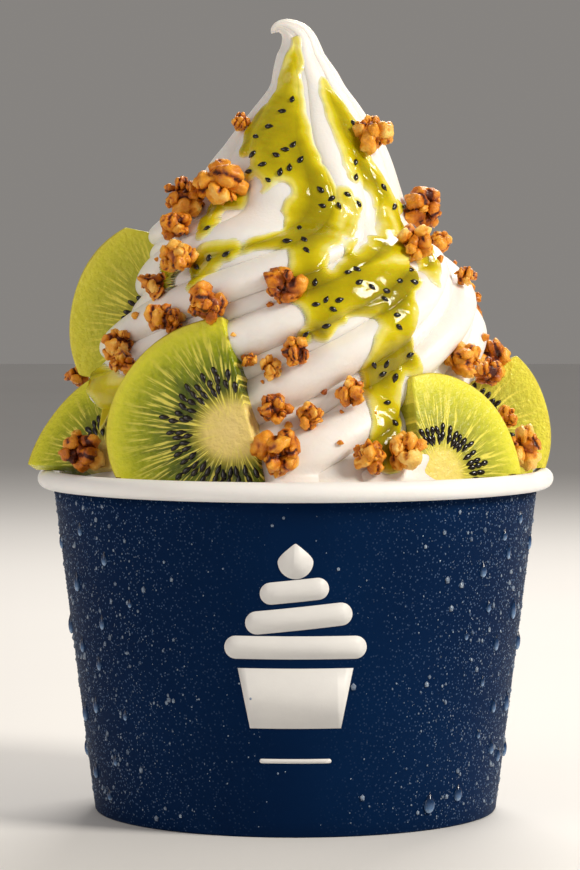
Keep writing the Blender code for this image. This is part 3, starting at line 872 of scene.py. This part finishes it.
def yogurt_swirl():
    """The yogurt in the cup and the swirl above it."""
    columns = ridge_columns()
    body = np.arange(SHOULDER_HEIGHT, PEAK_HEIGHT, 0.38 * MM)
    peak = PEAK_HEIGHT + PEAK_STEP * np.linspace(0.0, len(PEAK) - 1, 50)
    levels = np.concatenate((body, peak))
    column, level = np.meshgrid(columns, levels)
    points = swirl_surface(column, level)
    turn = np.arctan2(points[0, :, 0], -points[0, :, 1])
    rings = []
    for height, inset in ((6.4 * MM, 0.3 * MM), (UNDER_ROLL, 0.6 * MM)):
        radius = wall_radius(height) - PAPER - inset
        rings.append(np.stack(
            (radius * np.sin(turn), -radius * np.cos(turn), np.full_like(turn, height)), -1))
    foot = rings[0].mean(axis=0) * (0.0, 0.0, 1.0)
    rings.insert(0, np.tile(foot, (len(turn), 1)))
    tip = points[-1].mean(axis=0)
    points = np.concatenate((np.stack(rings), points, np.tile(tip, (1, len(turn), 1))))
    item = grid_piece(points, "yogurt_swirl")
    work_on(item)
    bpy.ops.object.mode_set(mode="EDIT")
    bpy.ops.mesh.select_all(action="SELECT")
    bpy.ops.mesh.remove_doubles(threshold=0.004 * MM)
    bpy.ops.mesh.normals_make_consistent(inside=False)
    bpy.ops.object.mode_set(mode="OBJECT")
    return dress(item, "yogurt_swirl", YOGURT, "frozen_yogurt", "yogurt")


# Sauce: streams listed by their points, each with its turn, height and half width in millimetres

STREAMS = (
    ((-16, 145.6, 0.8), (-20, 142.3, 1.3), (-29, 138.5, 1.9), (-29, 133.6, 3.7), (-23, 128.8, 5.6),
     (-16, 125.0, 6.3), (-9, 120.8, 5.6)),
    ((-52, 132.4, 1.7), (-51, 129.0, 1.9), (-45, 125.1, 1.1)),
    ((25, 137.5, 0.6), (30, 133.6, 1.7), (33, 129.8, 2.8), (34, 125.4, 3.3), (39, 121.7, 3.0),
     (48, 117.6, 2.6), (58, 114.2, 2.2)),
    ((-1, 118.4, 5.2), (7, 112.8, 5.0), (7, 107.2, 5.2), (7, 102.7, 5.2), (8, 98.2, 4.8),
     (9, 94.0, 3.7)),
    ((-1, 108.2, 1.7), (-10, 107.6, 1.5), (-16, 106.5, 1.3)),
    ((-36, 115.6, 1.3), (-48, 114.8, 1.5), (-45, 112.3, 1.5), (-39, 109.3, 1.5)),
    ((-25, 106.3, 1.5), (-32, 105.0, 2.2), (-36, 103.0, 1.7), (-35, 100.1, 1.1), (-31, 97.8, 0.7)),
    ((-50, 102.7, 0.9), (-50, 99.9, 0.9)),
    ((58, 114.2, 2.2), (63, 111.0, 2.4), (60, 106.9, 2.4), (54, 103.0, 1.9), (52, 100.4, 0.9)),
    ((24, 116.2, 1.2), (27, 112.7, 1.2), (19, 109.4, 1.4)),
    ((53, 114.0, 1.2), (52, 110.5, 1.4), (42, 107.2, 1.8)),
    ((16, 104.1, 2.6), (27, 105.4, 3.3), (39, 106.7, 3.2), (52, 107.3, 2.4)),
    ((13, 98.7, 4.4), (23, 99.4, 4.8), (33, 100.8, 4.6), (41, 101.7, 2.6)),
    ((32, 97.2, 3.5), (32, 92.7, 3.5), (34, 88.1, 2.6), (38, 84.8, 1.5)),
    ((29, 89.6, 3.2), (28, 85.4, 3.7), (28, 81.2, 3.1), (29, 77.2, 3.0), (27, 73.0, 2.8),
     (26, 68.0, 2.4)),
    ((-78, 82.5, 1.6), (-68, 80.5, 3.2), (-60, 80.0, 3.4), (-53, 80.5, 2.4)),
    ((150, 128.0, 3.0), (160, 120.0, 5.0), (150, 112.0, 6.0), (158, 104.0, 5.0), (150, 96.0, 4.0),
     (146, 88.0, 3.0)),
    ((-150, 126.0, 2.5), (-140, 118.0, 4.0), (-146, 108.0, 4.6), (-138, 100.0, 3.0)),
)
# Crests that the sauce leaves bare, listed in the same way
BARE_CRESTS = (
    ((4, 139.4, 1.3), (6, 133.6, 1.8), (12, 128.8, 1.9), (17, 124.0, 2.0), (23, 119.7, 1.4),
     (27, 116.9, 0.4)),
    ((-33, 119.7, 1.5), (-26, 117.9, 1.7)),
    ((-27, 109.1, 2.2), (-24, 111.5, 2.8), (-18, 114.1, 2.8), (-10, 117.1, 1.9)),
    ((-28, 99.9, 2.2), (-22, 102.7, 2.8), (-14, 104.1, 2.6), (-8, 105.2, 1.7)),
    ((33, 118.5, 0.9), (39, 115.7, 1.9), (40, 111.9, 1.9), (27, 108.2, 1.3), (22, 106.0, 0.6)),
    ((19, 108.2, 0.9), (14, 105.2, 1.5), (12, 103.0, 0.7)),
    ((1, 81.0, 3.0), (10, 85.5, 3.3), (16, 89.7, 2.8), (20, 91.8, 1.5)),
    ((-7, 91.9, 3.3), (-2, 94.0, 3.1)),
    ((1, 70.3, 3.7), (12, 72.9, 3.1), (19, 74.7, 1.7)),
)
SAUCE_FILM = 0.24 * MM
SAUCE_POOL = 0.72                   # share of a groove's depth that a pool fills
SAUCE_EDGE = 0.16 * MM              # how far the rounded edge stands above the film
STREAM_SPREAD = 0.9 * MM            # how far the sauce has spread past its streams
CREST_CREEP = 0.2 * MM              # and on to the bare crests
SEED_POOL = 1.7                     # half width of the sauce round a seed, in millimetres


def stream_distance(points, stream):
    """How far points lie inside a stream; less than 0 outside it."""
    nodes = []
    for turn, height, half in stream:
        height = height * MM
        radius = float(outline_radius(np.array(turn), np.array(height))) * 0.97
        if height > PEAK_HEIGHT:
            radius = 3.0 * MM
        lean = float(along(LEAN, np.array(height)))
        nodes.append((np.array(at_turn(turn, radius, height)) + (lean, 0.0, 0.0), half * MM))
    best = np.full(points.shape[:-1], -1.0)
    for (start, first), (end, second) in zip(nodes, nodes[1:]):
        run = end - start
        t = np.clip(((points - start) @ run) / (run @ run), 0.0, 1.0)
        gap = np.linalg.norm(points - start - t[..., None] * run, axis=-1)
        best = np.maximum(best, first + (second - first) * t - gap)
    return best


def wave(points, scale, seed):
    """A smooth uneven value between about -1 and 1 at each point."""
    draw = random.Random(seed)
    total = np.zeros(points.shape[:-1])
    for _ in range(7):
        direction = np.array([draw.gauss(0, 1) for _ in range(3)])
        phase = draw.uniform(0, math.tau)
        total += np.sin(points @ direction * (math.tau / scale) + phase)
    return total / 3.2


def sauce_lift(column, level):
    """How far the sauce stands off the yogurt; less than 0 where there is none."""
    points = swirl_surface(column, level, filling=0.6)
    inside = np.full(points.shape[:-1], -1.0)
    for stream in STREAMS:
        inside = np.maximum(inside, stream_distance(points, stream) + STREAM_SPREAD)
    for crest in BARE_CRESTS:
        inside = np.minimum(inside, -stream_distance(points, crest) + CREST_CREEP)
    for turn, height in SAUCE_SEEDS:
        pool = (turn, height, SEED_POOL), (turn, height - 0.1, SEED_POOL)
        inside = np.maximum(inside, stream_distance(points, pool))
    inside = inside + 0.40 * MM * wave(points, 10 * MM, 3)
    ridge = ridge_height(column, level)
    inside = inside + 0.3 * MM * (0.55 - ridge)
    edge = np.sqrt(np.clip(inside / (0.9 * MM), 0.0, 1.0))
    bead = np.exp(-((inside / MM - 0.65) / 0.38) ** 2) * (inside > 0)
    film = SAUCE_FILM * edge + SAUCE_EDGE * bead + 0.10 * MM * edge * wave(points, 6 * MM, 8)
    return np.where(inside > 0, film, np.maximum(inside * 0.9, -0.7 * MM)), inside


def kiwi_sauce():
    """The sauce: a skin that stands off the yogurt where it flows and ends just under it."""
    columns = np.linspace(0.0, RIDGES, 640)
    levels = np.concatenate((
        np.arange(66.0 * MM, PEAK_HEIGHT, 0.36 * MM), PEAK_HEIGHT + PEAK_STEP * np.linspace(0, 2.5, 9),
    ))
    column, level = np.meshgrid(columns, levels)
    lift, inside = sauce_lift(column, level)
    filling = SAUCE_POOL * smooth_step(0.0, 2.2 * MM, inside)
    bare = swirl_surface(column, level)
    points = swirl_surface(column, level, lift=lift, filling=filling)
    depth = np.linalg.norm(points - bare, axis=-1) * np.sign(lift)
    item = grid_piece(points, "kiwi_sauce")
    fade = smooth_step(0.0, 4.2 * MM, inside)
    point_value(item, "depth", np.clip(depth / (2.6 * MM), 0.0, 1.0) * 0.6 + 0.4 * fade)
    drop_points(item, (lift <= -0.45 * MM).reshape(-1))
    shell = item.modifiers.new("underside", "SOLIDIFY")
    shell.thickness = 0.5 * MM
    shell.offset = -1.0
    apply_modifiers(item)
    return dress(item, "kiwi_sauce", SAUCE, "frozen_yogurt")


# Seeds

SAUCE_SEEDS = (
    (10, 117.5), (16, 115.8), (11, 114.5), (20, 114.5), (25, 116.6), (31, 114.9), (32, 119.9),
    (53, 118.0), (58, 114.4), (76, 114.5), (2, 108.3), (3, 106.3), (-4, 108.0), (0, 110.4),
    (17, 102.3), (20, 102.9), (20, 100.5), (6, 100.5), (9, 97.4), (6, 96.5), (11, 95.6),
    (13, 97.3), (9, 92.6), (3, 91.1), (42, 102.7), (35, 100.7), (41, 100.5), (24, 99.6),
    (29, 98.9), (28, 97.4), (31, 94.5), (31, 92.3), (36, 87.2), (24, 85.4), (28, 85.6),
    (27, 83.8), (31, 83.0), (-35, 103.2), (-31, 105.0), (-25, 105.6), (-38, 110.4),
    (-31, 129.4), (-39, 127.5), (-35, 124.1), (-18, 124.0), (-13, 125.0), (-8, 125.9),
    (-8, 121.6), (-19, 119.3), (43, 130.0), (34, 122.6), (-25, 132.3), (-18, 134.6),
    (-25, 122.2), (-13, 120.8), (-33, 120.9), (-2, 123.1), (28, 78.6), (30, 75.0),
    (152, 120.0), (164, 117.0), (148, 112.0), (160, 108.0), (154, 100.0), (146, 106.0),
    (152, 92.0), (-142, 118.0), (-150, 112.0), (-140, 108.0), (-146, 103.0),
)
SEED_LENGTH = 1.75 * MM
SEED_WIDTH = 1.05 * MM
SEED_THICKNESS = 0.75 * MM


def seed_shape():
    """A flattened drop that lies along +X with its point forward."""
    bpy.ops.mesh.primitive_uv_sphere_add(segments=10, ring_count=7, radius=0.5)
    item = bpy.context.object
    points = mesh_points(item)
    forward = points[:, 2].copy()
    taper = 1.0 - 0.55 * smooth_step(-0.05, 0.5, forward)
    move_points(item, np.stack((
        forward * SEED_LENGTH, points[:, 0] * SEED_WIDTH * taper,
        points[:, 1] * SEED_THICKNESS * taper), 1))
    return item


def frame_on(normal, forward):
    """A turn that points Z along the normal and X along the forward direction."""
    z = normal.normalized()
    x = (forward - z * forward.dot(z)).normalized()
    y = z.cross(x)
    return Matrix((x, y, z)).transposed().to_4x4()


def swirl_normal(column, level):
    """The direction straight out of the swirl at one place."""
    step = np.array((0.0, 0.02))
    round_it = swirl_surface(column + step, np.array((level, level)), filling=0.9)
    up_it = swirl_surface(np.array((column, column)), level + np.array((0.0, 0.4 * MM)), filling=0.9)
    normal = Vector(round_it[1] - round_it[0]).cross(Vector(up_it[1] - up_it[0]))
    return normal.normalized()


def sauce_seeds():
    draw = random.Random(11)
    matrices = []
    for turn, height in SAUCE_SEEDS:
        level = height * MM
        column = float(column_at(np.array(float(turn)), np.array(level)))
        lift, _ = sauce_lift(np.array(column), np.array(level))
        place = swirl_surface(
            np.array(column), np.array(level), lift=max(float(lift), 0.0) + 0.05 * MM,
            filling=SAUCE_POOL)
        normal = swirl_normal(column, level)
        forward = Vector((draw.gauss(0, 1), draw.gauss(0, 1), draw.gauss(0, 1)))
        size = draw.uniform(0.85, 1.12)
        matrices.append(
            Matrix.Translation(Vector(place)) @ frame_on(normal, forward) @ Matrix.Scale(size, 4))
    item, _ = copies(seed_shape(), matrices, "sauce_seeds")
    return dress(item, "sauce_seeds", SEED, "frozen_yogurt")


# Kiwi slices

def slice_frame(height, turn, distance, face_turn, face_tilt):
    """Matrix that puts a slice, modelled in X and Z with its face at -Y, in its place."""
    place = Matrix.Translation(at_turn(turn, distance * MM, height * MM))
    swing = Matrix.Rotation(math.radians(face_turn), 4, "Z")
    lean = Matrix.Rotation(math.radians(-face_tilt), 4, "X")
    return place @ swing @ lean


# How pale each slice is with light that comes through it
BACKLIGHT = {
    "kiwi_front_left": 0.0, "kiwi_left_back": 0.38, "kiwi_left_low": 0.12,
    "kiwi_front_right": 0.30, "kiwi_right_back": 0.5,
}


def clearance():
    """All that lies below the rim's top and outside the space in the cup."""
    top = CUP_HEIGHT + 0.05 * MM
    inside = PAPER + 0.15 * MM
    return turned([
        (60 * MM, top), (60 * MM, 0.0), (wall_radius(0.0) - inside, 0.0),
        (wall_radius(UNDER_ROLL) - inside, top),
    ], 144, "clearance")


def kiwi_slice(name, cutter):
    """A slice with rounded edges, its straight cuts and its place in the cup."""
    height, turn, distance, face_turn, face_tilt, half_width, half_height, cuts = SLICES[name]
    bpy.ops.mesh.primitive_cylinder_add(
        vertices=120, radius=1.0, depth=SLICE_THICKNESS, rotation=(math.radians(90), 0, 0))
    item = bpy.context.object
    settle(item)
    points = mesh_points(item)
    points *= (half_width * MM, 1.0, half_height * MM)
    points[:, 1] += SLICE_THICKNESS / 2
    angle = np.arctan2(points[:, 2], points[:, 0])
    uneven = 1.0 + 0.006 * np.sin(3 * angle + turn) + 0.004 * np.sin(7 * angle + height)
    points[:, 0] *= uneven
    points[:, 2] *= uneven
    move_points(item, points)
    bpy.ops.object.mode_set(mode="EDIT")
    for direction, offset in cuts:
        angle = math.radians(direction)
        outward = Vector((math.cos(angle), 0.0, math.sin(angle)))
        bpy.ops.mesh.select_all(action="SELECT")
        bpy.ops.mesh.bisect(
            plane_co=outward * offset * MM, plane_no=outward, use_fill=True, clear_outer=True)
    bpy.ops.mesh.select_all(action="SELECT")
    bpy.ops.mesh.normals_make_consistent(inside=False)
    bpy.ops.object.mode_set(mode="OBJECT")
    rounding = item.modifiers.new("rounding", "BEVEL")
    rounding.width = 0.55 * MM
    rounding.segments = 4
    rounding.limit_method = "ANGLE"
    rounding.angle_limit = math.radians(40)
    apply_modifiers(item)
    layer = item.data.uv_layers.new(name="slice")
    for loop in item.data.loops:
        x, _, z = item.data.vertices[loop.vertex_index].co
        layer.data[loop.index].uv = (
            0.5 + x / (2 * half_width * MM), 0.5 + z / (2 * half_height * MM))
    item.matrix_world = slice_frame(height, turn, distance, face_turn, face_tilt)
    settle(item)
    fit = item.modifiers.new("fit", "BOOLEAN")
    fit.operation = "DIFFERENCE"
    fit.object = cutter
    apply_modifiers(item)
    point_value(item, "backlight", [BACKLIGHT.get(name, 0.2)] * len(item.data.vertices))
    piece = dress(item, name + "_slice", KIWI, "kiwi_flesh", name)
    piece.data.shade_smooth()
    work_on(piece)
    bpy.ops.object.shade_smooth_by_angle(angle=math.radians(35))
    return piece


SEED_RAYS = 40


def slice_sauce():
    """Sauce that has run over the top of the low slice on the left, with two drips."""
    height, turn, distance, face_turn, face_tilt, half_width, half_height, _ = (
        SLICES["kiwi_left_low"])
    across = np.linspace(-12.0, 1.3, 96)
    up = np.linspace(1.0, 20.4, 140)
    x, z = np.meshgrid(across, up)
    brink = 13.2 + 0.9 * np.sin(x * 1.1) - 8.6 * np.exp(-((x + 4.6) / 1.25) ** 2)
    brink -= 5.0 * np.exp(-((x + 0.2) / 1.1) ** 2)
    brink += 7.0 * smooth_step(-8.0, -11.0, x)
    inside = np.minimum(z - brink, (1.0 - np.hypot(x / half_width, z / half_height)) * half_width)
    film = 0.42 * np.sqrt(np.clip(inside / 1.1, 0.0, 1.0)) + 0.18 * np.exp(-((inside - 0.8) / 0.5) ** 2)
    lift = np.where(inside > 0, film, np.maximum(inside, -0.5))
    points = np.stack((x * MM, -lift * MM, z * MM), -1)
    item = grid_piece(points, "slice_sauce")
    point_value(item, "depth", 0.10 + 0.30 * smooth_step(0.0, 3.0, inside))
    outside = (inside < -0.45).reshape(-1)
    drop_points(item, outside)
    item.matrix_world = slice_frame(height, turn, distance, face_turn, face_tilt)
    settle(item)
    return dress(item, "slice_sauce", SAUCE, "frozen_yogurt")


def kiwi_seeds():
    """Seeds in short rows round the core of each slice, half sunk and pointing at it."""
    draw = random.Random(23)
    matrices = []
    for details in SLICES.values():
        height, turn, distance, face_turn, face_tilt, half_width, half_height, cuts = details
        place = slice_frame(height, turn, distance, face_turn, face_tilt)
        for number in range(SEED_RAYS):
            ray = math.tau * (number + draw.uniform(-0.2, 0.2)) / SEED_RAYS
            start = draw.uniform(0.345, 0.41)
            for step in range(draw.choice((2, 2, 2, 3))):
                angle = ray + draw.uniform(-0.03, 0.03)
                reach = start + 0.078 * step
                x = reach * half_width * math.cos(angle)
                z = reach * half_height * math.sin(angle)
                if any(x * math.cos(math.radians(d)) + z * math.sin(math.radians(d)) > offset - 0.7
                       for d, offset in cuts):
                    continue
                inward = Vector((-math.cos(angle), 0.0, -math.sin(angle)))
                forward = inward + Vector((draw.gauss(0, 0.12), 0.0, draw.gauss(0, 0.12)))
                seat = Matrix.Translation(Vector((x * MM, -0.04 * MM, z * MM)))
                turned_in = frame_on(Vector((0, -1, 0)), forward)
                size = Matrix.Diagonal((draw.uniform(1.1, 1.35), draw.uniform(0.85, 1.1), 1.0, 1.0))
                matrices.append(place @ seat @ turned_in @ size)
    item, _ = copies(seed_shape(), matrices, "kiwi_seeds")
    return dress(item, "kiwi_seeds", SEED, "kiwi_flesh")


# Granola

CLUSTER_LOBES = 8
LOBE_SPACING = 0.72


def nugget(number):
    """A baked lump, parted by a crease like half a nut; also how deep each point lies in it."""
    bpy.ops.mesh.primitive_ico_sphere_add(subdivisions=3, radius=1.0)
    item = bpy.context.object
    points, creases = [], []
    for vertex in item.data.vertices:
        direction = vertex.co.normalized()
        at = direction * 1.3 + Vector((number * 7.3, number * 3.1, 0.0))
        bend = 0.35 * noise.noise(at * 0.8)
        crease = math.exp(-((direction.x + bend) / 0.17) ** 2) * (direction.z > -0.4)
        second = math.exp(-((direction.y - 0.45 + bend) / 0.15) ** 2) * (direction.x > 0.0)
        depth = max(crease, 0.6 * second)
        lumps = noise.noise(at) * 0.32 + noise.noise(at * 2.3) * 0.16
        points.append(direction * (1.0 + lumps - 0.30 * depth))
        creases.append(depth)
    move_points(item, [tuple(point) for point in points])
    return item, creases


def granola_clusters():
    """Every cluster: lumps on the lobes of its solid, round a middle one, with smaller ones between."""
    shapes, creases = zip(*(nugget(number) for number in range(7)))
    faces = [[list(face.vertices) for face in shape.data.polygons] for shape in shapes]
    outlines = [mesh_points(shape) for shape in shapes]
    all_points, all_faces, tone_with_painted_shading = [], [], []
    start = 0
    for number in range(1, GRANOLA_COUNT + 1):
        low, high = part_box(f"granola_{number:02d}")
        low, high = Vector(low), Vector(high)
        middle = (low + high) / 2
        width = max(high - low) * 1.06
        draw = random.Random(number)
        lobes = []
        while len(lobes) < CLUSTER_LOBES:
            direction = Vector([draw.gauss(0.0, 1.0) for _ in range(3)]).normalized()
            if all(direction.dot(other) < LOBE_SPACING for other in lobes):
                lobes.append(direction)
        cluster_tone = draw.uniform(0.35, 0.65)
        lumps = [(middle, width * 0.27)]
        lumps += [(middle + lobe * width * 0.30, width * draw.uniform(0.16, 0.27)) for lobe in lobes]
        for _ in range(4):
            direction = Vector([draw.gauss(0.0, 1.0) for _ in range(3)]).normalized()
            lumps.append((middle + direction * width * 0.36, width * draw.uniform(0.09, 0.15)))
        for place, size in lumps:
            kind = draw.randrange(len(shapes))
            turned_any = Matrix.Rotation(draw.uniform(0, math.tau), 3, "X") @ Matrix.Rotation(
                draw.uniform(0, math.tau), 3, "Z")
            stretch = np.array([draw.uniform(0.65, 1.25) for _ in range(3)])
            local = (outlines[kind] * stretch * size) @ np.array(turned_any).T + np.array(place)
            all_points.append(local)
            all_faces += [[i + start for i in face] for face in faces[kind]]
            lump_tone = cluster_tone + draw.uniform(-0.15, 0.2)
            # Painted shade and light: each lump is darker in its creases and towards the cluster's middle, and
            # lighter at its outer tips.
            reach = np.linalg.norm(local - np.array(middle), axis=1) / width
            tone_with_painted_shading += list(lump_tone - 0.75 * np.array(creases[kind]) + 1.5 * (reach - 0.38))
            start += len(local)
    for shape in shapes:
        bpy.data.objects.remove(shape, do_unlink=True)
    mesh = bpy.data.meshes.new("granola_clusters")
    mesh.from_pydata(np.concatenate(all_points).tolist(), [], all_faces)
    item = bpy.data.objects.new("granola_clusters", mesh)
    bpy.context.scene.collection.objects.link(item)
    point_value(item, "tone", tone_with_painted_shading)
    nodes = [f"granola_{number:02d}" for number in range(1, GRANOLA_COUNT + 1)]
    return dress(item, "granola_clusters", GRANOLA, "baked_granola", *nodes)


# Turn and height of loose crumbs on the swirl
CRUMBS = (
    (4, 91.6), (-30, 89.5), (-10, 82.5), (12, 71.6), (24, 76.8), (-47, 107.6), (-57, 104.6),
    (-58, 94.2), (-46, 88.6), (-2, 74.6), (9, 80.6), (-36, 100.0), (-52, 116.0), (62, 104.6),
    (78, 97.0), (66, 81.0), (48, 82.0), (80, 90.0), (-18, 91.0), (-66, 99.0), (96, 104.0),
    (118, 104.0), (140, 96.0), (170, 100.0), (-170, 88.0), (-140, 96.0), (-120, 100.0),
    (104, 84.0), (156, 76.0), (-176, 78.0), (-134, 84.0), (30, 71.4), (-8, 96.4), (14, 77.0),
)


def granola_crumbs():
    draw = random.Random(31)
    bpy.ops.mesh.primitive_ico_sphere_add(subdivisions=2, radius=0.5)
    crumb = bpy.context.object
    points = mesh_points(crumb)
    rough = [1.0 + 0.5 * noise.noise(Vector(point) * 3.0) for point in points]
    move_points(crumb, points * np.array(rough)[:, None])
    matrices = []
    for turn, height in CRUMBS:
        level = height * MM
        column = float(column_at(np.array(float(turn)), np.array(level)))
        size = draw.uniform(0.7, 1.7) * MM
        place = swirl_surface(np.array(column), np.array(level), lift=0.3 * size)
        any_way = Matrix.Rotation(draw.uniform(0, math.tau), 4, "X") @ Matrix.Rotation(
            draw.uniform(0, math.tau), 4, "Z")
        matrices.append(
            Matrix.Translation(Vector(place)) @ any_way
            @ Matrix.Diagonal((size, size * draw.uniform(0.6, 1.0), size * 0.7, 1.0)))
    item, owners = copies(crumb, matrices, "granola_crumbs")
    shades = [draw.uniform(0.35, 0.8) for _ in matrices]
    point_value(item, "tone", [shades[owner] for owner in owners])
    return dress(item, "granola_crumbs", GRANOLA, "baked_granola")


# Condensation on the cup

BEAD_COUNT = 9000


def bead_shape():
    """A low dome of water on the wall, with its base at the origin and +Z outward."""
    bpy.ops.mesh.primitive_uv_sphere_add(segments=5, ring_count=3, radius=1.0)
    item = bpy.context.object
    points = mesh_points(item)
    points[:, 2] *= 0.55
    move_points(item, points)
    return item


def on_wall(turn, height):
    """The place on the wall at a turn and a height, with Z outward and X across."""
    outward = at_turn(turn, 1.0, 0.0)
    place = Matrix.Translation(at_turn(turn, float(wall_radius(height)), height))
    return place @ frame_on(outward, Vector((0, 0, 1)).cross(outward))


def condensation():
    """Fine beads, many at the sides of the cup and few at its front and back."""
    draw = random.Random(5)
    matrices = []
    while len(matrices) < BEAD_COUNT:
        turn = draw.uniform(-180, 180)
        towards_sides = abs(math.sin(math.radians(turn)))
        if draw.random() > 0.03 + 0.97 * towards_sides ** 3.0:
            continue
        height = draw.uniform(2.0, 60.5) * MM
        size = 0.07 * MM + 0.12 * MM * draw.random() ** 2 + 0.50 * MM * draw.random() ** 20
        drop = Matrix.Diagonal((size, size * draw.uniform(1.0, 1.4), size, 1.0))
        matrices.append(on_wall(turn, height) @ drop)
    item, _ = copies(bead_shape(), matrices, "condensation")
    return dress(item, "condensation", MIST, "printed_paper")


# Turn, height, width and length of the large drops, in millimetres
LARGE_DROPS = (
    (51, 48.0, 1.5, 3.2), (59, 54.0, 1.2, 2.4), (62, 51.0, 1.0, 3.6), (39, 5.4, 2.2, 4.2),
    (50, 6.6, 1.8, 3.6), (70, 40.0, 1.4, 5.0), (75, 22.0, 1.5, 4.6), (80, 52.0, 1.2, 4.0),
    (82, 33.0, 1.6, 4.4), (66, 14.0, 1.3, 3.4), (56, 27.0, 1.0, 2.4), (47, 36.0, 0.9, 2.0),
    (-52, 50.0, 1.3, 3.0), (-60, 30.0, 1.2, 3.0), (-68, 45.0, 1.5, 4.4), (-76, 20.0, 1.6, 4.6),
    (-80, 52.0, 1.2, 3.8), (-84, 36.0, 1.5, 4.6), (-72, 9.0, 1.4, 3.6), (-57, 12.0, 1.0, 2.4),
    (-44, 42.0, 0.9, 1.8), (88, 12.0, 1.6, 4.2), (-90, 12.0, 1.6, 4.2), (110, 44.0, 1.4, 4.0),
    (124, 26.0, 1.3, 3.6), (140, 50.0, 1.1, 2.8), (-112, 40.0, 1.4, 4.0), (-126, 18.0, 1.5, 4.0),
    (-142, 48.0, 1.1, 2.6), (160, 16.0, 1.0, 2.2), (55, 41.0, 1.1, 2.6), (61, 34.0, 1.3, 3.6),
    (64, 22.0, 1.2, 3.4), (67, 57.0, 1.1, 2.8), (73, 12.0, 1.3, 3.4), (57, 17.0, 0.9, 2.0),
    (-50, 21.0, 1.0, 2.4), (-62, 55.0, 1.1, 3.0), (-56, 38.0, 1.2, 3.2), (-65, 22.0, 1.3, 3.8),
    (-70, 33.0, 1.2, 3.6), (-63, 5.0, 1.1, 2.4),
)


def large_drops():
    """Drops that run down the wall, each wide below and drawn out above."""
    bpy.ops.mesh.primitive_uv_sphere_add(segments=20, ring_count=14, radius=0.5)
    item = bpy.context.object
    points = mesh_points(item)
    points = points[:, (0, 2, 1)]
    points[:, 0] *= 1.0 - 0.75 * smooth_step(-0.1, 0.5, points[:, 1])
    points[:, 2] *= 1.0 - 0.6 * smooth_step(-0.1, 0.5, points[:, 1])
    move_points(item, points)
    matrices = []
    for turn, height, width, length in LARGE_DROPS:
        size = Matrix.Diagonal((width * 1.15 * MM, length * MM, width * 0.85 * MM, 1.0))
        matrices.append(on_wall(turn, height * MM) @ size)
    # Painted light: the lower part of each drop is marked to be coloured bright, as if lit through.
    low = smooth_step(0.25, -0.45, points[:, 1])
    item, _ = copies(item, matrices, "large_drops")
    point_value(item, "painted_glow", np.tile(low, len(matrices)))
    work_on(item)
    bpy.ops.object.mode_set(mode="EDIT")
    bpy.ops.mesh.select_all(action="SELECT")
    bpy.ops.mesh.normals_make_consistent(inside=False)
    bpy.ops.object.mode_set(mode="OBJECT")
    return dress(item, "large_drops", WATER, "printed_paper")


# Build

cup_wall()
cup_rim()
cup_print()
base = bpy.data.objects.get("cup_base")
yogurt_swirl()
kiwi_sauce()
sauce_seeds()
slice_cutter = clearance()
for slice_name in SLICES:
    kiwi_slice(slice_name, slice_cutter)
bpy.data.objects.remove(slice_cutter, do_unlink=True)
slice_sauce()
kiwi_seeds()
granola_clusters()
granola_crumbs()
condensation()
large_drops()

# The base is shown as its solid
board = frame["nodes"]["cup_base"] if "nodes" in frame else base
board.data.materials.clear()
board.data.materials.append(BOARD)


# Floor, lights and camera

bpy.ops.mesh.primitive_plane_add(size=6.0, location=(0.0, 0.0, 0.0))
floor = bpy.context.object
floor.name = "floor"
floor.data.materials.append(FLOOR)


def area_light(name, place, aim, size, power, colour):
    light = bpy.data.lights.new(name, "AREA")
    light.shape = "RECTANGLE"
    light.size, light.size_y = size
    light.energy = power
    light.color = colour
    item = bpy.data.objects.new(name, light)
    item.location = place
    item.rotation_euler = (Vector(aim) - Vector(place)).to_track_quat("-Z", "Y").to_euler()
    bpy.context.scene.collection.objects.link(item)


CENTRE = (0.0, 0.0, 0.08)
area_light("key", (0.55, -0.30, 0.48), CENTRE, (0.22, 0.22), 5.1, (1.0, 0.94, 0.84))
area_light("fill", (-0.65, -0.45, 0.35), CENTRE, (0.6, 0.6), 2.1, (1.0, 0.93, 0.86))
area_light("back", (0.15, 0.6, 0.6), CENTRE, (0.5, 0.3), 4.6, (1.0, 0.95, 0.88))

world = bpy.data.worlds.new("studio")
world.use_nodes = True
world.node_tree.nodes["Background"].inputs["Color"].default_value = (1.0, 0.95, 0.90, 1.0)
world.node_tree.nodes["Background"].inputs["Strength"].default_value = 0.24
bpy.context.scene.world = world

VIEW_DISTANCE = 0.700
EYE_HEIGHT = 0.1045
LENS = 152.3
AIM = Vector((-0.00105, 0.0, 0.0712))
camera = bpy.data.cameras.new("camera")
camera.lens = LENS
camera.sensor_width = 36.0
camera.sensor_fit = "AUTO"
camera.clip_start = 0.01
viewer = bpy.data.objects.new("camera", camera)
viewer.location = (0.0, -VIEW_DISTANCE, EYE_HEIGHT)
viewer.rotation_euler = (AIM - viewer.location).to_track_quat("-Z", "Y").to_euler()
bpy.context.scene.collection.objects.link(viewer)
bpy.context.scene.camera = viewer

bpy.context.scene.view_settings.view_transform = "Standard"
